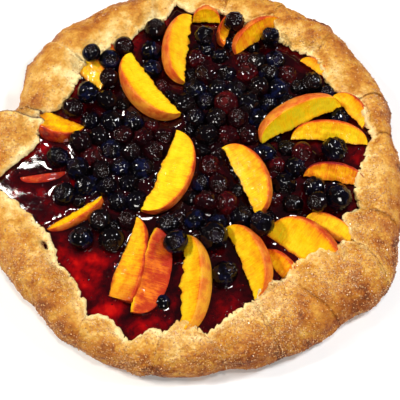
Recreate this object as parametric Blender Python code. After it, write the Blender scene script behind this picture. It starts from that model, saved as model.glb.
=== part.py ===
"""Free-form fruit galette: a pleated pastry case, set juice, peach slices and blueberries.

The pastry is one round sheet whose border is folded in over the filling in loose pleats.
Bearings are in degrees, counter-clockwise from +X. Lengths below are in millimetres, and
MM turns them into metres. The origin is under the middle of the galette, where it rests.
"""
import math
import random

import bmesh
import bpy
from mathutils import Matrix, Vector
from mathutils.bvhtree import BVHTree
from mathutils.geometry import delaunay_2d_cdt

MM = 0.001

# Pastry case
SHEET = 4.0              # thickness of the pastry under the filling
LIP_DROP = 2.2           # rounding at the folded border's inner edge
LIP_RISE = 4.6           # height of that edge above the juice
LAP = 2.6                # how far a pleat's start stands above the end of the one before it
RIM_BULGE = 1.6          # outward swell of the rim between two folds
FOOT_UNDERCUT = 2.5      # how far the rim's foot stands in from its widest line
COLUMN_STEP = 5.5        # bearing between two columns of the rim, at most
FEWEST_COLUMNS = 3       # steps in the narrowest pleat
FOLD_SPLIT = 0.35        # half of the bearing over which one pleat steps down to the next

# Each pleat starts at a fold. Fold bearing, clear radius at the fold, bearing of the pleat's
# deepest point, clear radius there, rim radius at the fold, crest height, and how far the
# fold line turns on its way out to the rim.
PLEATS = (
    (9.0, 127.0, 15.0, 124.5, 141.0, 22.0, -1.0),
    (23.0, 126.0, 31.0, 115.5, 146.5, 24.0, -3.0),
    (43.0, 122.0, 54.0, 116.0, 150.0, 25.0, 3.0),
    (63.0, 130.5, 70.0, 117.0, 148.0, 23.0, -2.0),
    (78.0, 123.5, 88.0, 120.5, 146.0, 22.5, 2.0),
    (94.7, 132.0, 97.5, 117.0, 145.0, 20.0, 1.0),
    (103.0, 117.0, 119.0, 106.0, 143.0, 23.0, -2.0),
    (134.0, 105.5, 154.0, 96.5, 142.0, 25.0, 3.0),
    (160.5, 108.5, 162.0, 107.0, 128.0, 21.0, 1.0),
    (164.0, 103.0, 169.0, 102.5, 141.0, 24.0, 1.0),
    (186.5, 130.0, 211.0, 106.0, 143.0, 19.0, -1.0),
    (222.0, 111.0, 227.0, 109.0, 139.0, 25.0, 3.0),
    (240.0, 124.0, 245.0, 120.5, 143.5, 22.0, 2.0),
    (254.3, 131.5, 260.0, 118.5, 144.5, 21.0, 0.0),
    (263.4, 120.0, 268.0, 110.7, 143.5, 21.5, -2.0),
    (275.5, 121.0, 290.0, 108.0, 141.5, 25.0, 5.0),
    (292.5, 107.0, 299.0, 100.5, 145.0, 26.0, 2.0),
    (307.0, 106.0, 310.0, 100.5, 147.5, 27.0, 4.0),
    (332.3, 121.0, 338.6, 108.9, 156.0, 27.0, -7.0),
    (343.0, 117.0, 352.0, 112.8, 147.0, 24.0, -2.0),
)

# Filling
GAP = 0.3                # clearance between touching pieces
JUICE_TOP = 15.0         # level of the set juice

# Peach slices: a half-moon spun through the wedge angle about an axis behind its pit edge.
AXIS_SETBACK = 8.0       # from the pit edge to that axis
SKIN_FULLNESS = 0.85     # below 1 the skin's arc is fuller than half an ellipse
PIT_HOLLOW = 0.07        # hollow of the pit edge, as a share of the depth
SKIN_POINTS = 9          # points along the skin, tips included
PIT_POINTS = 3           # points along the pit edge, tips left out
WEDGE_STEPS = 2          # steps of the spin
# Middle of the pit edge x, y, z, heading of the pit edge (the skin is to its left), roll
# (lifts the skin), pitch (lifts the far tip), length, depth from pit edge to skin, wedge.
PEACHES = (
    (12.6, 115.0, 16.0, -2.0, 55.0, 0.0, 20.0, 12.0, 24.0),
    (-1.0, 89.0, 19.0, 85.0, 25.0, 0.0, 57.0, 18.0, 30.0),
    (-23.5, 59.5, 20.0, 126.0, 12.0, 0.0, 61.0, 21.0, 30.0),
    (-77.0, 70.0, 13.5, -45.0, 14.0, 0.0, 34.0, 13.0, 24.0),
    (-88.0, 35.0, 14.5, 155.0, 14.0, 0.0, 36.0, 19.0, 30.0),
    (-97.5, -9.0, 10.5, 189.0, 60.0, 0.0, 36.0, 7.0, 24.0),
    (-74.5, -37.5, 14.0, 211.0, 18.0, -4.0, 42.0, 8.0, 34.0),
    (-19.0, -8.5, 22.0, 249.5, -4.0, 0.0, 63.0, 22.0, 26.0),
    (34.0, -17.0, 20.5, -67.0, 18.0, 0.0, 54.0, 20.0, 28.0),
    (-42.6, -67.7, 15.0, 248.9, 15.0, -6.5, 55.0, 14.8, 22.0),
    (-27.6, -79.0, 21.0, 255.5, -31.0, -4.0, 51.0, 14.6, 24.0),
    (-2.5, -87.0, 16.5, -92.5, 31.0, -3.0, 64.0, 18.0, 32.0),
    (34.5, -73.5, 17.5, -70.0, 31.0, 0.0, 52.0, 18.5, 30.0),
    (57.5, -78.5, 14.0, -50.0, 26.0, 0.0, 34.0, 12.0, 28.0),
    (73.8, -71.4, 13.0, -40.0, 30.0, 0.0, 62.0, 25.5, 24.0),
    (94.2, -52.0, 14.5, -35.0, 17.0, 0.0, 40.0, 11.0, 22.0),
    (77.0, 28.0, 19.5, 27.0, 44.0, 0.0, 62.0, 17.5, 36.0),
    (96.0, 15.5, 16.0, -5.0, 31.0, 0.0, 52.0, 15.0, 24.0),
    (110.0, 38.0, 17.0, -52.0, 28.0, 0.0, 31.0, 12.0, 26.0),
    (98.0, -14.5, 15.5, -12.0, 31.0, 0.0, 42.0, 13.0, 26.0),
    (88.0, 74.0, 15.5, -42.0, 20.0, 0.0, 22.0, 8.0, 26.0),
    (29.0, 106.0, 18.0, 72.0, 20.0, 0.0, 28.0, 8.0, 26.0),
    (51.0, 99.0, 17.0, 36.0, 40.0, 0.0, 43.0, 14.5, 30.0),
    (-61.0, 88.0, 13.0, -50.0, 24.0, 0.0, 22.0, 10.0, 26.0),
)

# Single berries that stand clear of the heap: x, y, z of the middle, and radius.
BERRIES = (
    (-23.0, 106.0, 19.5, 7.4), (-26.0, 88.0, 19.0, 7.2), (-45.0, 89.0, 18.5, 6.8),
    (-50.0, 81.0, 19.0, 6.6), (-61.0, 77.0, 20.0, 6.4), (-54.0, 66.0, 20.5, 6.8),
    (-70.0, 52.0, 21.0, 7.4), (-58.0, 47.0, 20.0, 7.0), (-80.0, 44.0, 19.0, 7.0),
    (-73.0, 14.0, 20.0, 7.4), (-88.0, 3.0, 18.0, 7.2), (-74.0, -6.0, 18.5, 7.6),
    (-82.0, -24.0, 17.0, 7.0), (-69.0, -56.0, 18.0, 7.6), (-57.0, -44.0, 18.5, 7.0),
    (-50.0, -56.0, 18.0, 7.8), (-13.0, -48.0, 20.0, 7.4), (-10.0, -63.0, 21.5, 7.0),
    (14.0, -58.0, 20.5, 9.0), (23.0, -81.0, 18.5, 7.8), (-17.0, -98.0, 11.5, 6.0),
    (43.0, -48.0, 20.0, 7.8), (98.0, 5.0, 19.5, 8.4), (99.0, -28.0, 20.0, 8.8),
    (84.0, -20.0, 19.0, 6.8), (85.0, -34.0, 20.5, 6.4), (86.0, 61.0, 19.0, 6.8),
    (96.0, 54.0, 18.0, 5.6), (31.0, 108.0, 22.0, 6.4), (58.0, 97.0, 24.0, 6.6),
    (11.0, 98.0, 24.0, 6.4), (104.0, 36.0, 19.0, 6.6), (-28.0, 72.0, 18.5, 7.0),
)
BERRY_SIDES = 8
BERRY_BANDS = 4
BERRY_FLATNESS = 0.94    # height over width
BERRY_CLEARANCE = 0.5    # least distance kept from a single berry to any other piece
BERRY_POCKET = 0.39      # clearance of the pocket a berry sits in
FAR_AWAY = 20.0          # pieces further apart than this can't touch
SLANTED_RAY = (0.31, 0.17, 0.94)  # a direction along no edge of any piece
PAST_WALL = 0.001        # how far past a wall the search for the next one starts

# Heap of berries in the middle
HEAP_SEED = 11
HEAP_CENTRE = (14.0, 20.0)
HEAP_LOBES = ((-48.0, 4.0, 27.0), (-28.0, 26.0, 36.0), (18.0, 14.0, 56.0), (48.0, 52.0, 46.0),
              (14.0, -34.0, 24.0), (70.0, -12.0, 24.0), (-42.0, -26.0, 20.0), (20.0, 72.0, 26.0))
HEAP_SPACING = 12.3      # between the middles of neighbouring berries before they settle
LATTICE_HALF = 120.0     # half the side of the square they are set out on
HEAP_RADII = (6.4, 7.8)  # smallest and largest berry in the heap
HEAP_JITTER = 2.0
HEAP_LIFT = (-1.2, 1.6)  # lowest and highest a berry lies off the mound's even top
SQUASH = 1.4             # how far two of its berries may press into each other
HEAP_SHOVE = 0.4         # share of an overlap that each of two such berries gives way
SINGLE_ROOM = 0.4        # clearance from the heap's berries to the single ones
PIECE_ROOM = 0.6         # and to the slices and the pastry
LONGEST_SHIFT = 3.0      # furthest a berry moves in one round
MOST_PRESSED = 0.8       # share of a berry's radius that must stay clear of a slice
MOST_SINGLE_OVERLAP = 2.0  # a berry that still overlaps a single one by more is left out
MOST_HEAP_OVERLAP = 5.6  # and one that overlaps another of the heap by more
HEAP_FOOT = 17.5         # height of a berry's middle at the heap's edge
HEAP_RISE = 5.0          # how much higher it is in the middle
HEAP_REACH = 85.0        # radius over which that rise fades out
SETTLE_ROUNDS = 40
OUTLINE_STEP = 6.0       # bearing between two points of the heap's outline
OUTLINE_BEAM = 5.0       # how far beside a berry such a bearing may pass and still count it
OUTLINE_MARGIN = 3.0     # least distance from the outline to the pastry
OUTLINE_BACK = 1.0       # step by which the outline draws back from it
OUTLINE_DENT = 6.0       # deepest dent between two of its corners
OUTLINE_ROUNDS = 3       # rounds of filling the dents
SKIRT = 3.0              # height of the heap's side wall
SADDLE = 0.50            # dip between two berries, as a share of their radius
PEAK_MARGIN = 1.0        # least distance from the outline to a berry's peak
SADDLE_MARGIN = 1.5      # and to a dip
WELD = 0.01              # points closer than this are one
OPEN_ABOVE = 30.0        # free height above a slice that stands in the heap

# Pockets
SHARPEST_CORNER = 3.0    # most that a corner of a swelled shape moves, in wall moves


def clear_scene():
    for item in list(bpy.data.objects):
        bpy.data.objects.remove(item, do_unlink=True)


def principled(name, colour, roughness):
    """A plain non-metallic material."""
    material = bpy.data.materials.new(name)
    material.use_nodes = True
    shader = material.node_tree.nodes["Principled BSDF"]
    shader.inputs["Base Color"].default_value = (*colour, 1.0)
    shader.inputs["Roughness"].default_value = roughness
    shader.inputs["Metallic"].default_value = 0.0
    material.diffuse_color = (*colour, 1.0)
    return material


def add_object(name, bm, material, smooth_angle=None):
    """Turn a bmesh in millimetres into a named object in metres."""
    bmesh.ops.scale(bm, vec=(MM, MM, MM), verts=bm.verts)
    bmesh.ops.recalc_face_normals(bm, faces=bm.faces)
    mesh = bpy.data.meshes.new(name)
    bm.to_mesh(mesh)
    bm.free()
    mesh.materials.append(material)
    if smooth_angle is not None:
        mesh.shade_smooth()
        mesh.set_sharp_from_angle(angle=math.radians(smooth_angle))
    thing = bpy.data.objects.new(name, mesh)
    bpy.context.scene.collection.objects.link(thing)
    return thing


# ---------------------------------------------------------------- pastry case

def ease(start, end, share):
    """Half a cosine wave from start to end."""
    return start + (end - start) * 0.5 * (1.0 - math.cos(math.pi * share))


def swing(start, end, share):
    """Leaves start steeply and arrives flat, as a pleat's edge leaves its fold."""
    return start + (end - start) * math.sin(0.5 * math.pi * share)


def rim_columns():
    """Bearing, clear radius, rim radius, crest height and fold lean, all round the case."""
    columns = []
    for index, pleat in enumerate(PLEATS):
        fold, clear, tip, tip_clear, rim, crest, lean = pleat
        after = PLEATS[(index + 1) % len(PLEATS)]
        end = after[0] + (360.0 if after[0] < fold else 0.0)
        steps = max(FEWEST_COLUMNS, math.ceil((end - fold) / COLUMN_STEP))
        for step in range(steps + 1):
            share = step / steps
            bearing = fold + FOLD_SPLIT + (end - fold - 2.0 * FOLD_SPLIT) * share
            if bearing < tip:
                inner = swing(clear, tip_clear, (bearing - fold) / (tip - fold))
            else:
                inner = swing(after[1], tip_clear, (end - bearing) / (end - tip))
            outer = ease(rim, after[4], share) + RIM_BULGE * math.sin(math.pi * share)
            height = ease(crest, after[5], share) + LAP * (1.0 - share) ** 2
            columns.append((bearing, inner, outer, height, ease(lean, after[6], share)))
    return columns


def rim_profile(inner, outer, height):
    """Radius and height along the folded border, from its foot inside over to its foot outside."""
    width = outer - inner
    lip = JUICE_TOP + LIP_RISE
    return (
        (inner, SHEET),
        (inner, lip - LIP_DROP),
        (inner + LIP_DROP, lip),
        (inner + 0.30 * width, lip + 0.75 * (height - lip)),
        (inner + 0.54 * width, height),
        (inner + 0.78 * width, 0.84 * height),
        (inner + 0.94 * width, 0.58 * height),
        (outer, 0.28 * height),
        (outer - FOOT_UNDERCUT, 0.0),
    )


def polar(radius, bearing, height):
    angle = math.radians(bearing)
    return Vector((radius * math.cos(angle), radius * math.sin(angle), height))


def bridge_columns(bm, columns):
    """Quads between neighbouring columns of vertices, all the way round."""
    for index, column in enumerate(columns):
        following = columns[(index + 1) % len(columns)]
        for low, high in zip(range(len(column) - 1), range(1, len(column))):
            bm.faces.new((column[low], column[high], following[high], following[low]))


def crust_mesh():
    """The folded border swept round the case, closed by the sheet under the filling."""
    bm = bmesh.new()
    columns = []
    for bearing, inner, outer, height, lean in rim_columns():
        column = []
        for radius, rise in rim_profile(inner, outer, height):
            turn = lean * max(0.0, radius - inner) / (outer - inner)
            column.append(bm.verts.new(polar(radius, bearing + turn, rise)))
        columns.append(column)
    bridge_columns(bm, columns)
    bm.faces.new([column[0] for column in columns])
    bm.faces.new([column[-1] for column in columns])
    return bm


def filling_mesh():
    """Set juice from the pastry sheet up to its level, inside the folded border."""
    bm = bmesh.new()
    columns = []
    for bearing, inner, _, _, _ in rim_columns():
        radius = inner - 2.0 * GAP
        columns.append([bm.verts.new(polar(radius, bearing, height))
                        for height in (SHEET + GAP, JUICE_TOP)])
    bridge_columns(bm, columns)
    bm.faces.new([column[0] for column in columns])
    bm.faces.new([column[1] for column in columns])
    return bm


# ---------------------------------------------------------------- peach slices

def half_moon(length, depth):
    """Outline of a slice's cut face: the skin's arc, then back along the pit edge."""
    outline = []
    for step in range(SKIN_POINTS):
        angle = math.pi * step / (SKIN_POINTS - 1)
        outline.append((0.5 * length * math.cos(angle), depth * math.sin(angle) ** SKIN_FULLNESS))
    for step in range(1, PIT_POINTS + 1):
        share = step / (PIT_POINTS + 1)
        hollow = PIT_HOLLOW * depth * math.sin(math.pi * share)
        outline.append((0.5 * length * (2.0 * share - 1.0), hollow))
    return outline


def peach_mesh(row):
    """One slice, standing where the filling holds it."""
    x, y, z, heading, roll, pitch, length, depth, wedge = row
    bm = bmesh.new()
    layers = []
    for step in range(WEDGE_STEPS + 1):
        angle = math.radians(wedge * (step / WEDGE_STEPS - 0.5))
        layer = []
        for along, out in half_moon(length, depth):
            radius = out + AXIS_SETBACK
            layer.append(bm.verts.new((along, radius * math.cos(angle) - AXIS_SETBACK,
                                       radius * math.sin(angle))))
        layers.append(layer)
    count = len(layers[0])
    for low, high in zip(layers, layers[1:]):
        for index in range(count):
            after = (index + 1) % count
            bm.faces.new((low[index], low[after], high[after], high[index]))
    bm.faces.new(layers[0])
    bm.faces.new(layers[-1])
    turn = (Matrix.Rotation(math.radians(heading), 4, "Z")
            @ Matrix.Rotation(math.radians(-pitch), 4, "Y")
            @ Matrix.Rotation(math.radians(roll), 4, "X"))
    bmesh.ops.transform(bm, matrix=Matrix.Translation((x, y, z)) @ turn, verts=bm.verts)
    bmesh.ops.recalc_face_normals(bm, faces=bm.faces)
    return bm


# ---------------------------------------------------------------- berries

def is_inside(point, tree):
    """True if a point lies in a closed mesh: a ray from it then meets an odd number of walls."""
    ray = Vector(SLANTED_RAY).normalized()
    walls = 0
    hit = tree.ray_cast(point, ray)[0]
    while hit is not None:
        walls += 1
        hit = tree.ray_cast(hit + ray * PAST_WALL, ray)[0]
    return walls % 2 == 1


def push_from_tree(middle, radius, tree, clearance):
    """The step that takes a ball clear of a closed mesh, or None if it is clear."""
    point, _, _, distance = tree.find_nearest(middle)
    if distance >= radius + clearance and distance > FAR_AWAY:
        return None
    if is_inside(middle, tree):
        return (point - middle).normalized() * (distance + radius + clearance)
    if distance >= radius + clearance:
        return None
    return (middle - point).normalized() * (radius + clearance - distance)


def push_from_ball(middle, radius, other, other_radius, clearance):
    """The step that takes a ball clear of another ball, or None if it is clear."""
    away = middle - other
    short = radius + other_radius + clearance - away.length
    return away.normalized() * short if short > 0.0 else None


def settle_singles(peach_trees, crust_tree):
    """Move each single berry just clear of the slices, the border and the berries before it."""
    settled = []
    for x, y, z, radius in BERRIES:
        middle = Vector((x, y, z))
        for _ in range(SETTLE_ROUNDS):
            steps = [push_from_tree(middle, radius, tree, BERRY_CLEARANCE)
                     for tree in [crust_tree] + peach_trees]
            steps += [push_from_ball(middle, radius, other, other_radius, BERRY_CLEARANCE)
                      for other, other_radius in settled]
            steps = [step for step in steps if step]
            if not steps:
                break
            middle += max(steps, key=lambda step: step.length)
        settled.append((middle, radius))
    return settled


def berry_mesh(middle, radius, extra=0.0):
    """A ball, a little flatter than it is wide."""
    bm = bmesh.new()
    bmesh.ops.create_uvsphere(bm, u_segments=BERRY_SIDES, v_segments=BERRY_BANDS,
                              radius=radius + extra)
    bmesh.ops.scale(bm, vec=(1.0, 1.0, BERRY_FLATNESS), verts=bm.verts)
    bmesh.ops.translate(bm, vec=middle, verts=bm.verts)
    return bm


# ---------------------------------------------------------------- heap

def in_heap(x, y):
    return any(math.hypot(x - lobe_x, y - lobe_y) < lobe_r for lobe_x, lobe_y, lobe_r in HEAP_LOBES)


def heap_middle_height(x, y):
    distance = math.hypot(x - HEAP_CENTRE[0], y - HEAP_CENTRE[1])
    return HEAP_FOOT + HEAP_RISE * max(0.0, 1.0 - (distance / HEAP_REACH) ** 2)


def settle_heap(peach_trees, crust_tree, singles):
    """Berries on a jittered lattice, pushed apart and off their neighbours."""
    rng = random.Random(HEAP_SEED)
    balls = []
    row_spacing = HEAP_SPACING * math.sqrt(0.75)
    for row in range(int(2.0 * LATTICE_HALF / row_spacing)):
        y = row * row_spacing - LATTICE_HALF
        for column in range(int(2.0 * LATTICE_HALF / HEAP_SPACING)):
            x = (column + 0.5 * (row % 2)) * HEAP_SPACING - LATTICE_HALF
            spot = Vector((x + rng.uniform(-HEAP_JITTER, HEAP_JITTER),
                           y + rng.uniform(-HEAP_JITTER, HEAP_JITTER), 0.0))
            radius = rng.uniform(*HEAP_RADII)
            if in_heap(spot.x, spot.y):
                spot.z = heap_middle_height(spot.x, spot.y) + rng.uniform(*HEAP_LIFT)
                balls.append([spot, radius])
    for _ in range(SETTLE_ROUNDS):
        for ball in balls:
            middle, radius = ball
            shift = Vector((0.0, 0.0, 0.0))
            for other, other_radius in balls:
                if other is not middle and abs(other.x - middle.x) < FAR_AWAY:
                    step = push_from_ball(middle, radius, other, other_radius, -SQUASH)
                    shift += HEAP_SHOVE * step if step else Vector()
            for other, other_radius in singles:
                step = push_from_ball(middle, radius, other, other_radius, SINGLE_ROOM)
                shift += step if step else Vector()
            for tree in [crust_tree] + peach_trees:
                step = push_from_tree(middle, radius, tree, PIECE_ROOM)
                shift += step if step else Vector()
            shift.z = 0.0
            if shift.length > LONGEST_SHIFT:
                shift = shift.normalized() * LONGEST_SHIFT
            ball[0] = middle + shift
    return [ball for ball in balls
            if heap_ball_is_clear(ball, balls, [crust_tree] + peach_trees, singles)]


def heap_ball_is_clear(ball, balls, trees, singles):
    """False for a berry that found no room of its own."""
    middle, radius = ball
    for tree in trees:
        if push_from_tree(middle, MOST_PRESSED * radius, tree, 0.0):
            return False
    for other, other_radius in singles:
        if push_from_ball(middle, radius, other, other_radius, -MOST_SINGLE_OVERLAP):
            return False
    for other, other_radius in balls:
        if other is middle:
            return True
        if push_from_ball(middle, radius, other, other_radius, -MOST_HEAP_OVERLAP):
            return False
    return True


def heap_outline(balls, crust_tree):
    """Corners of the heap's foot: as far out along each bearing as a berry reaches."""
    centre = Vector(HEAP_CENTRE)
    level = Vector((0.0, 0.0, JUICE_TOP))
    count = int(360.0 / OUTLINE_STEP)
    headings = [polar(1.0, step * OUTLINE_STEP, 0.0).to_2d() for step in range(count)]
    reaches = []
    for heading in headings:
        reach = 0.0
        for middle, radius in balls:
            offset = middle.to_2d() - centre
            along = offset.dot(heading)
            aside = abs(offset.cross(heading))
            if aside < radius + OUTLINE_BEAM:
                reach = max(reach, along + math.sqrt(max(0.0, radius ** 2 - aside ** 2)))
        spot = (centre + heading * reach).to_3d() + level
        while crust_tree.find_nearest(spot)[3] < OUTLINE_MARGIN:
            reach -= OUTLINE_BACK
            spot = (centre + heading * reach).to_3d() + level
        reaches.append(reach)
    for _ in range(OUTLINE_ROUNDS):
        around = zip(reaches[-1:] + reaches[:-1], reaches, reaches[1:] + reaches[:1])
        reaches = [max(here, 0.5 * (before + after) - OUTLINE_DENT)
                   for before, here, after in around]
    return [centre + heading * reach for heading, reach in zip(headings, reaches)]


def inside(corners, point, margin):
    """True if a point lies within a polygon and at least a margin from its sides."""
    crossings = 0
    for start, end in zip(corners, corners[1:] + corners[:1]):
        side = end - start
        share = min(1.0, max(0.0, (point - start).dot(side) / side.length_squared))
        if (start + side * share - point).length < margin:
            return False
        if (start.y > point.y) != (end.y > point.y):
            if point.x < start.x + side.x * (point.y - start.y) / side.y:
                crossings += 1
    return crossings % 2 == 1


def heap_mesh(balls, crust_tree):
    """A bumpy mound: a peak on each berry, a saddle between each two, and a low side wall."""
    floor = JUICE_TOP + GAP
    corners = heap_outline(balls, crust_tree)
    points = list(corners)
    heights = [floor + SKIRT] * len(corners)
    peaks = [middle.to_2d() for middle, _ in balls]
    _, pairs, _, sources, _, _ = delaunay_2d_cdt(peaks, [], [], 0, WELD)
    for peak, (middle, radius) in zip(peaks, balls):
        if inside(corners, peak, PEAK_MARGIN):
            points.append(peak)
            heights.append(middle.z + radius)
    for one, two in pairs:
        ends = [balls[sources[one][0]], balls[sources[two][0]]]
        spot = (ends[0][0] + ends[1][0]).to_2d() / 2.0
        if inside(corners, spot, SADDLE_MARGIN):
            points.append(spot)
            heights.append(min(middle.z + radius * (1.0 - SADDLE) for middle, radius in ends))
    count = len(corners)
    ring = [(index, (index + 1) % count) for index in range(count)]
    flat, _, faces, origins, _, _ = delaunay_2d_cdt(points, ring, [list(range(count))], 1, WELD)
    bm = bmesh.new()
    top = [bm.verts.new((spot.x, spot.y, heights[origin[0]]))
           for spot, origin in zip(flat, origins)]
    for face in faces:
        bm.faces.new([top[corner] for corner in face])
    border = [edge for edge in bm.edges if edge.is_boundary]
    extruded = bmesh.ops.extrude_edge_only(bm, edges=border)["geom"]
    foot = [item for item in extruded if isinstance(item, bmesh.types.BMVert)]
    for vert in foot:
        vert.co.z = floor
    bmesh.ops.holes_fill(bm, edges=[edge for edge in bm.edges if edge.is_boundary], sides=0)
    bmesh.ops.recalc_face_normals(bm, faces=bm.faces)
    return bm


# ---------------------------------------------------------------- cutting

def swell(bm, distance):
    """Move every face of a closed mesh outwards by the same distance."""
    bmesh.ops.recalc_face_normals(bm, faces=bm.faces)
    bm.normal_update()
    moves = [vert.normal * distance * min(vert.calc_shell_factor(), SHARPEST_CORNER)
             for vert in bm.verts]
    for vert, move in zip(bm.verts, moves):
        vert.co += move
    return bm


def raised(bm):
    """The space of a slice and all above it, as one convex solid."""
    tops = [vert.co + Vector((0.0, 0.0, OPEN_ABOVE)) for vert in bm.verts]
    for top in tops:
        bm.verts.new(top)
    bmesh.ops.delete(bm, geom=list(bm.faces), context="FACES_ONLY")
    bmesh.ops.delete(bm, geom=list(bm.edges), context="EDGES_FACES")
    hull = bmesh.ops.convex_hull(bm, input=bm.verts)
    spare = [item for item in hull["geom_interior"] if isinstance(item, bmesh.types.BMVert)]
    bmesh.ops.delete(bm, geom=spare, context="VERTS")
    return bm


def add_cutter(name, bm):
    cutter = add_object(name, bm, bpy.data.materials["cutter"])
    cutter.hide_render = True
    cutter.display_type = "WIRE"
    return cutter


def boxes_meet(one, two):
    """True if the bounding boxes of two objects overlap."""
    for axis in range(3):
        first = [vert.co[axis] for vert in one.data.vertices]
        second = [vert.co[axis] for vert in two.data.vertices]
        if max(first) < min(second) or max(second) < min(first):
            return False
    return True


def cut_with(thing, cutters):
    """Hollow one piece where its neighbours stand in it."""
    for cutter in cutters:
        if boxes_meet(thing, cutter):
            cut = thing.modifiers.new("pocket for " + cutter.name, "BOOLEAN")
            cut.operation = "DIFFERENCE"
            cut.object = cutter


def centre_on_origin(case):
    """Shift every piece and cutter so that the case stands centred over the origin."""
    middle = [0.5 * (min(values) + max(values))
              for values in zip(*(vert.co.to_2d() for vert in case.data.vertices))]
    shift = Matrix.Translation((-middle[0], -middle[1], 0.0))
    for thing in bpy.data.objects:
        thing.data.transform(shift)


def main():
    clear_scene()
    pastry = principled("pastry", (0.72, 0.42, 0.17), 0.75)
    juice = principled("juice", (0.20, 0.005, 0.008), 0.15)
    peach = principled("peach", (0.95, 0.52, 0.06), 0.35)
    berry = principled("berry", (0.02, 0.012, 0.03), 0.30)
    principled("cutter", (0.5, 0.5, 0.5), 0.5)

    crust_bm = crust_mesh()
    bmesh.ops.recalc_face_normals(crust_bm, faces=crust_bm.faces)
    crust_tree = BVHTree.FromBMesh(crust_bm)
    crust = add_object("crust", crust_bm, pastry, 35.0)
    filling = add_object("filling", filling_mesh(), juice)

    peach_trees = []
    peach_cutters = []
    open_cutters = []
    for number, row in enumerate(PEACHES, start=1):
        bm = peach_mesh(row)
        peach_trees.append(BVHTree.FromBMesh(bm))
        add_object(f"peach_{number:02d}", bm, peach, 30.0)
        peach_cutters.append(add_cutter(f"peach_space_{number:02d}", swell(peach_mesh(row), GAP)))
        open_space = raised(swell(peach_mesh(row), GAP))
        open_cutters.append(add_cutter(f"open_space_{number:02d}", open_space))

    singles = settle_singles(peach_trees, crust_tree)
    berry_cutters = []
    for number, (middle, radius) in enumerate(singles, start=1):
        add_object(f"berry_{number:02d}", berry_mesh(middle, radius), berry, 60.0)
        space = berry_mesh(middle, radius, BERRY_POCKET)
        berry_cutters.append(add_cutter(f"berry_space_{number:02d}", space))

    balls = settle_heap(peach_trees, crust_tree, singles)
    heap = add_object("berry_heap", heap_mesh(balls, crust_tree), berry)

    centre_on_origin(crust)
    cut_with(crust, peach_cutters)
    cut_with(filling, peach_cutters + berry_cutters)
    cut_with(heap, open_cutters + berry_cutters)


main()
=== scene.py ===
"""Fruit galette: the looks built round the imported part.

The file follows the galette as it is made: the pastry case, the set juice in it, the peach
slices, the blueberries, and the sugar strewn on the pastry. Lengths are in millimetres where a
name says so or a value is multiplied by MM, and in metres in the meshes themselves.
"""
import math
import random

import bpy
import numpy as np
from mathutils import Matrix, Vector, noise
from mathutils.bvhtree import BVHTree


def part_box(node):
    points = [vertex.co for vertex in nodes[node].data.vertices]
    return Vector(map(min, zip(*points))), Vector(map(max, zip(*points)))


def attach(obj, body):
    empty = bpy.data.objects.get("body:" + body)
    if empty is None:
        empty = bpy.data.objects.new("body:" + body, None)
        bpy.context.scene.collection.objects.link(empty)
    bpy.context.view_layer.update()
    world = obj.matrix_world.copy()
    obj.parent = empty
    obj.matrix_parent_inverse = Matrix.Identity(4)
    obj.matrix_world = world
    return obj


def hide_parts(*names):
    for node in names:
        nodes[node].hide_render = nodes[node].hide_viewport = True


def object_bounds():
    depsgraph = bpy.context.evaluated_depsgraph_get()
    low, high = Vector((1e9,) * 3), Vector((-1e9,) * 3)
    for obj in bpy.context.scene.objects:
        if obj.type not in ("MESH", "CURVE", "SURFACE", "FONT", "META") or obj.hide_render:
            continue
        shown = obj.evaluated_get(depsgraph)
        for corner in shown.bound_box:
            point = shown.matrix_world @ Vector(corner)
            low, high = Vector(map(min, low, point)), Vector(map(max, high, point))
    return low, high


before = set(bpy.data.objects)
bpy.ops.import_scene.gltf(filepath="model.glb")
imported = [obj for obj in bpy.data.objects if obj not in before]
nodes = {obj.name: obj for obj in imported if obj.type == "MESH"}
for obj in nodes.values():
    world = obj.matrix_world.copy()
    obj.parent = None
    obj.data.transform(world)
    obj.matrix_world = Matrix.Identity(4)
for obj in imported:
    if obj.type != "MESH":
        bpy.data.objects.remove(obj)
cad_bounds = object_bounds()
MM = 0.001

# ------------------------------------------------------------------ camera, floor and light
# The galette lies on a plain pale floor and is seen from in front and well above. Two small
# windows behind it give the sharp reflections, and larger soft boxes light it from both sides,
# from the front and from above.

CAMERA_AIM = Vector((0.0074, -0.0304, 0.018))
CAMERA_DISTANCE = 0.60
CAMERA_TILT = math.radians(25.0)      # away from looking straight down
CAMERA_LENS = 81.8

camera_data = bpy.data.cameras.new("camera")
camera_data.lens = CAMERA_LENS
camera_data.clip_start = 0.01
camera = bpy.data.objects.new("camera", camera_data)
camera.location = CAMERA_AIM + CAMERA_DISTANCE * Vector(
    (0.0, -math.sin(CAMERA_TILT), math.cos(CAMERA_TILT)))
camera.rotation_euler = (CAMERA_TILT, 0.0, 0.0)
bpy.context.scene.collection.objects.link(camera)
bpy.context.scene.camera = camera
bpy.context.scene.view_settings.view_transform = "Standard"


def srgb(red, green, blue):
    """A colour written as a screen shows it, 0 to 255, as the shader wants it."""
    parts = []
    for value in (red, green, blue):
        share = value / 255.0
        parts.append(share / 12.92 if share < 0.04045 else ((share + 0.055) / 1.055) ** 2.4)
    return (*parts, 1.0)


def soft_box(name, place, width, height, power, colour):
    """An area light that faces the galette."""
    light = bpy.data.lights.new(name, "AREA")
    light.shape = "RECTANGLE"
    light.size = width
    light.size_y = height
    light.energy = power
    light.color = srgb(*colour)[:3]
    holder = bpy.data.objects.new(name, light)
    holder.location = place
    holder.rotation_euler = (-Vector(place)).to_track_quat("-Z", "Y").to_euler()
    bpy.context.scene.collection.objects.link(holder)


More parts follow.
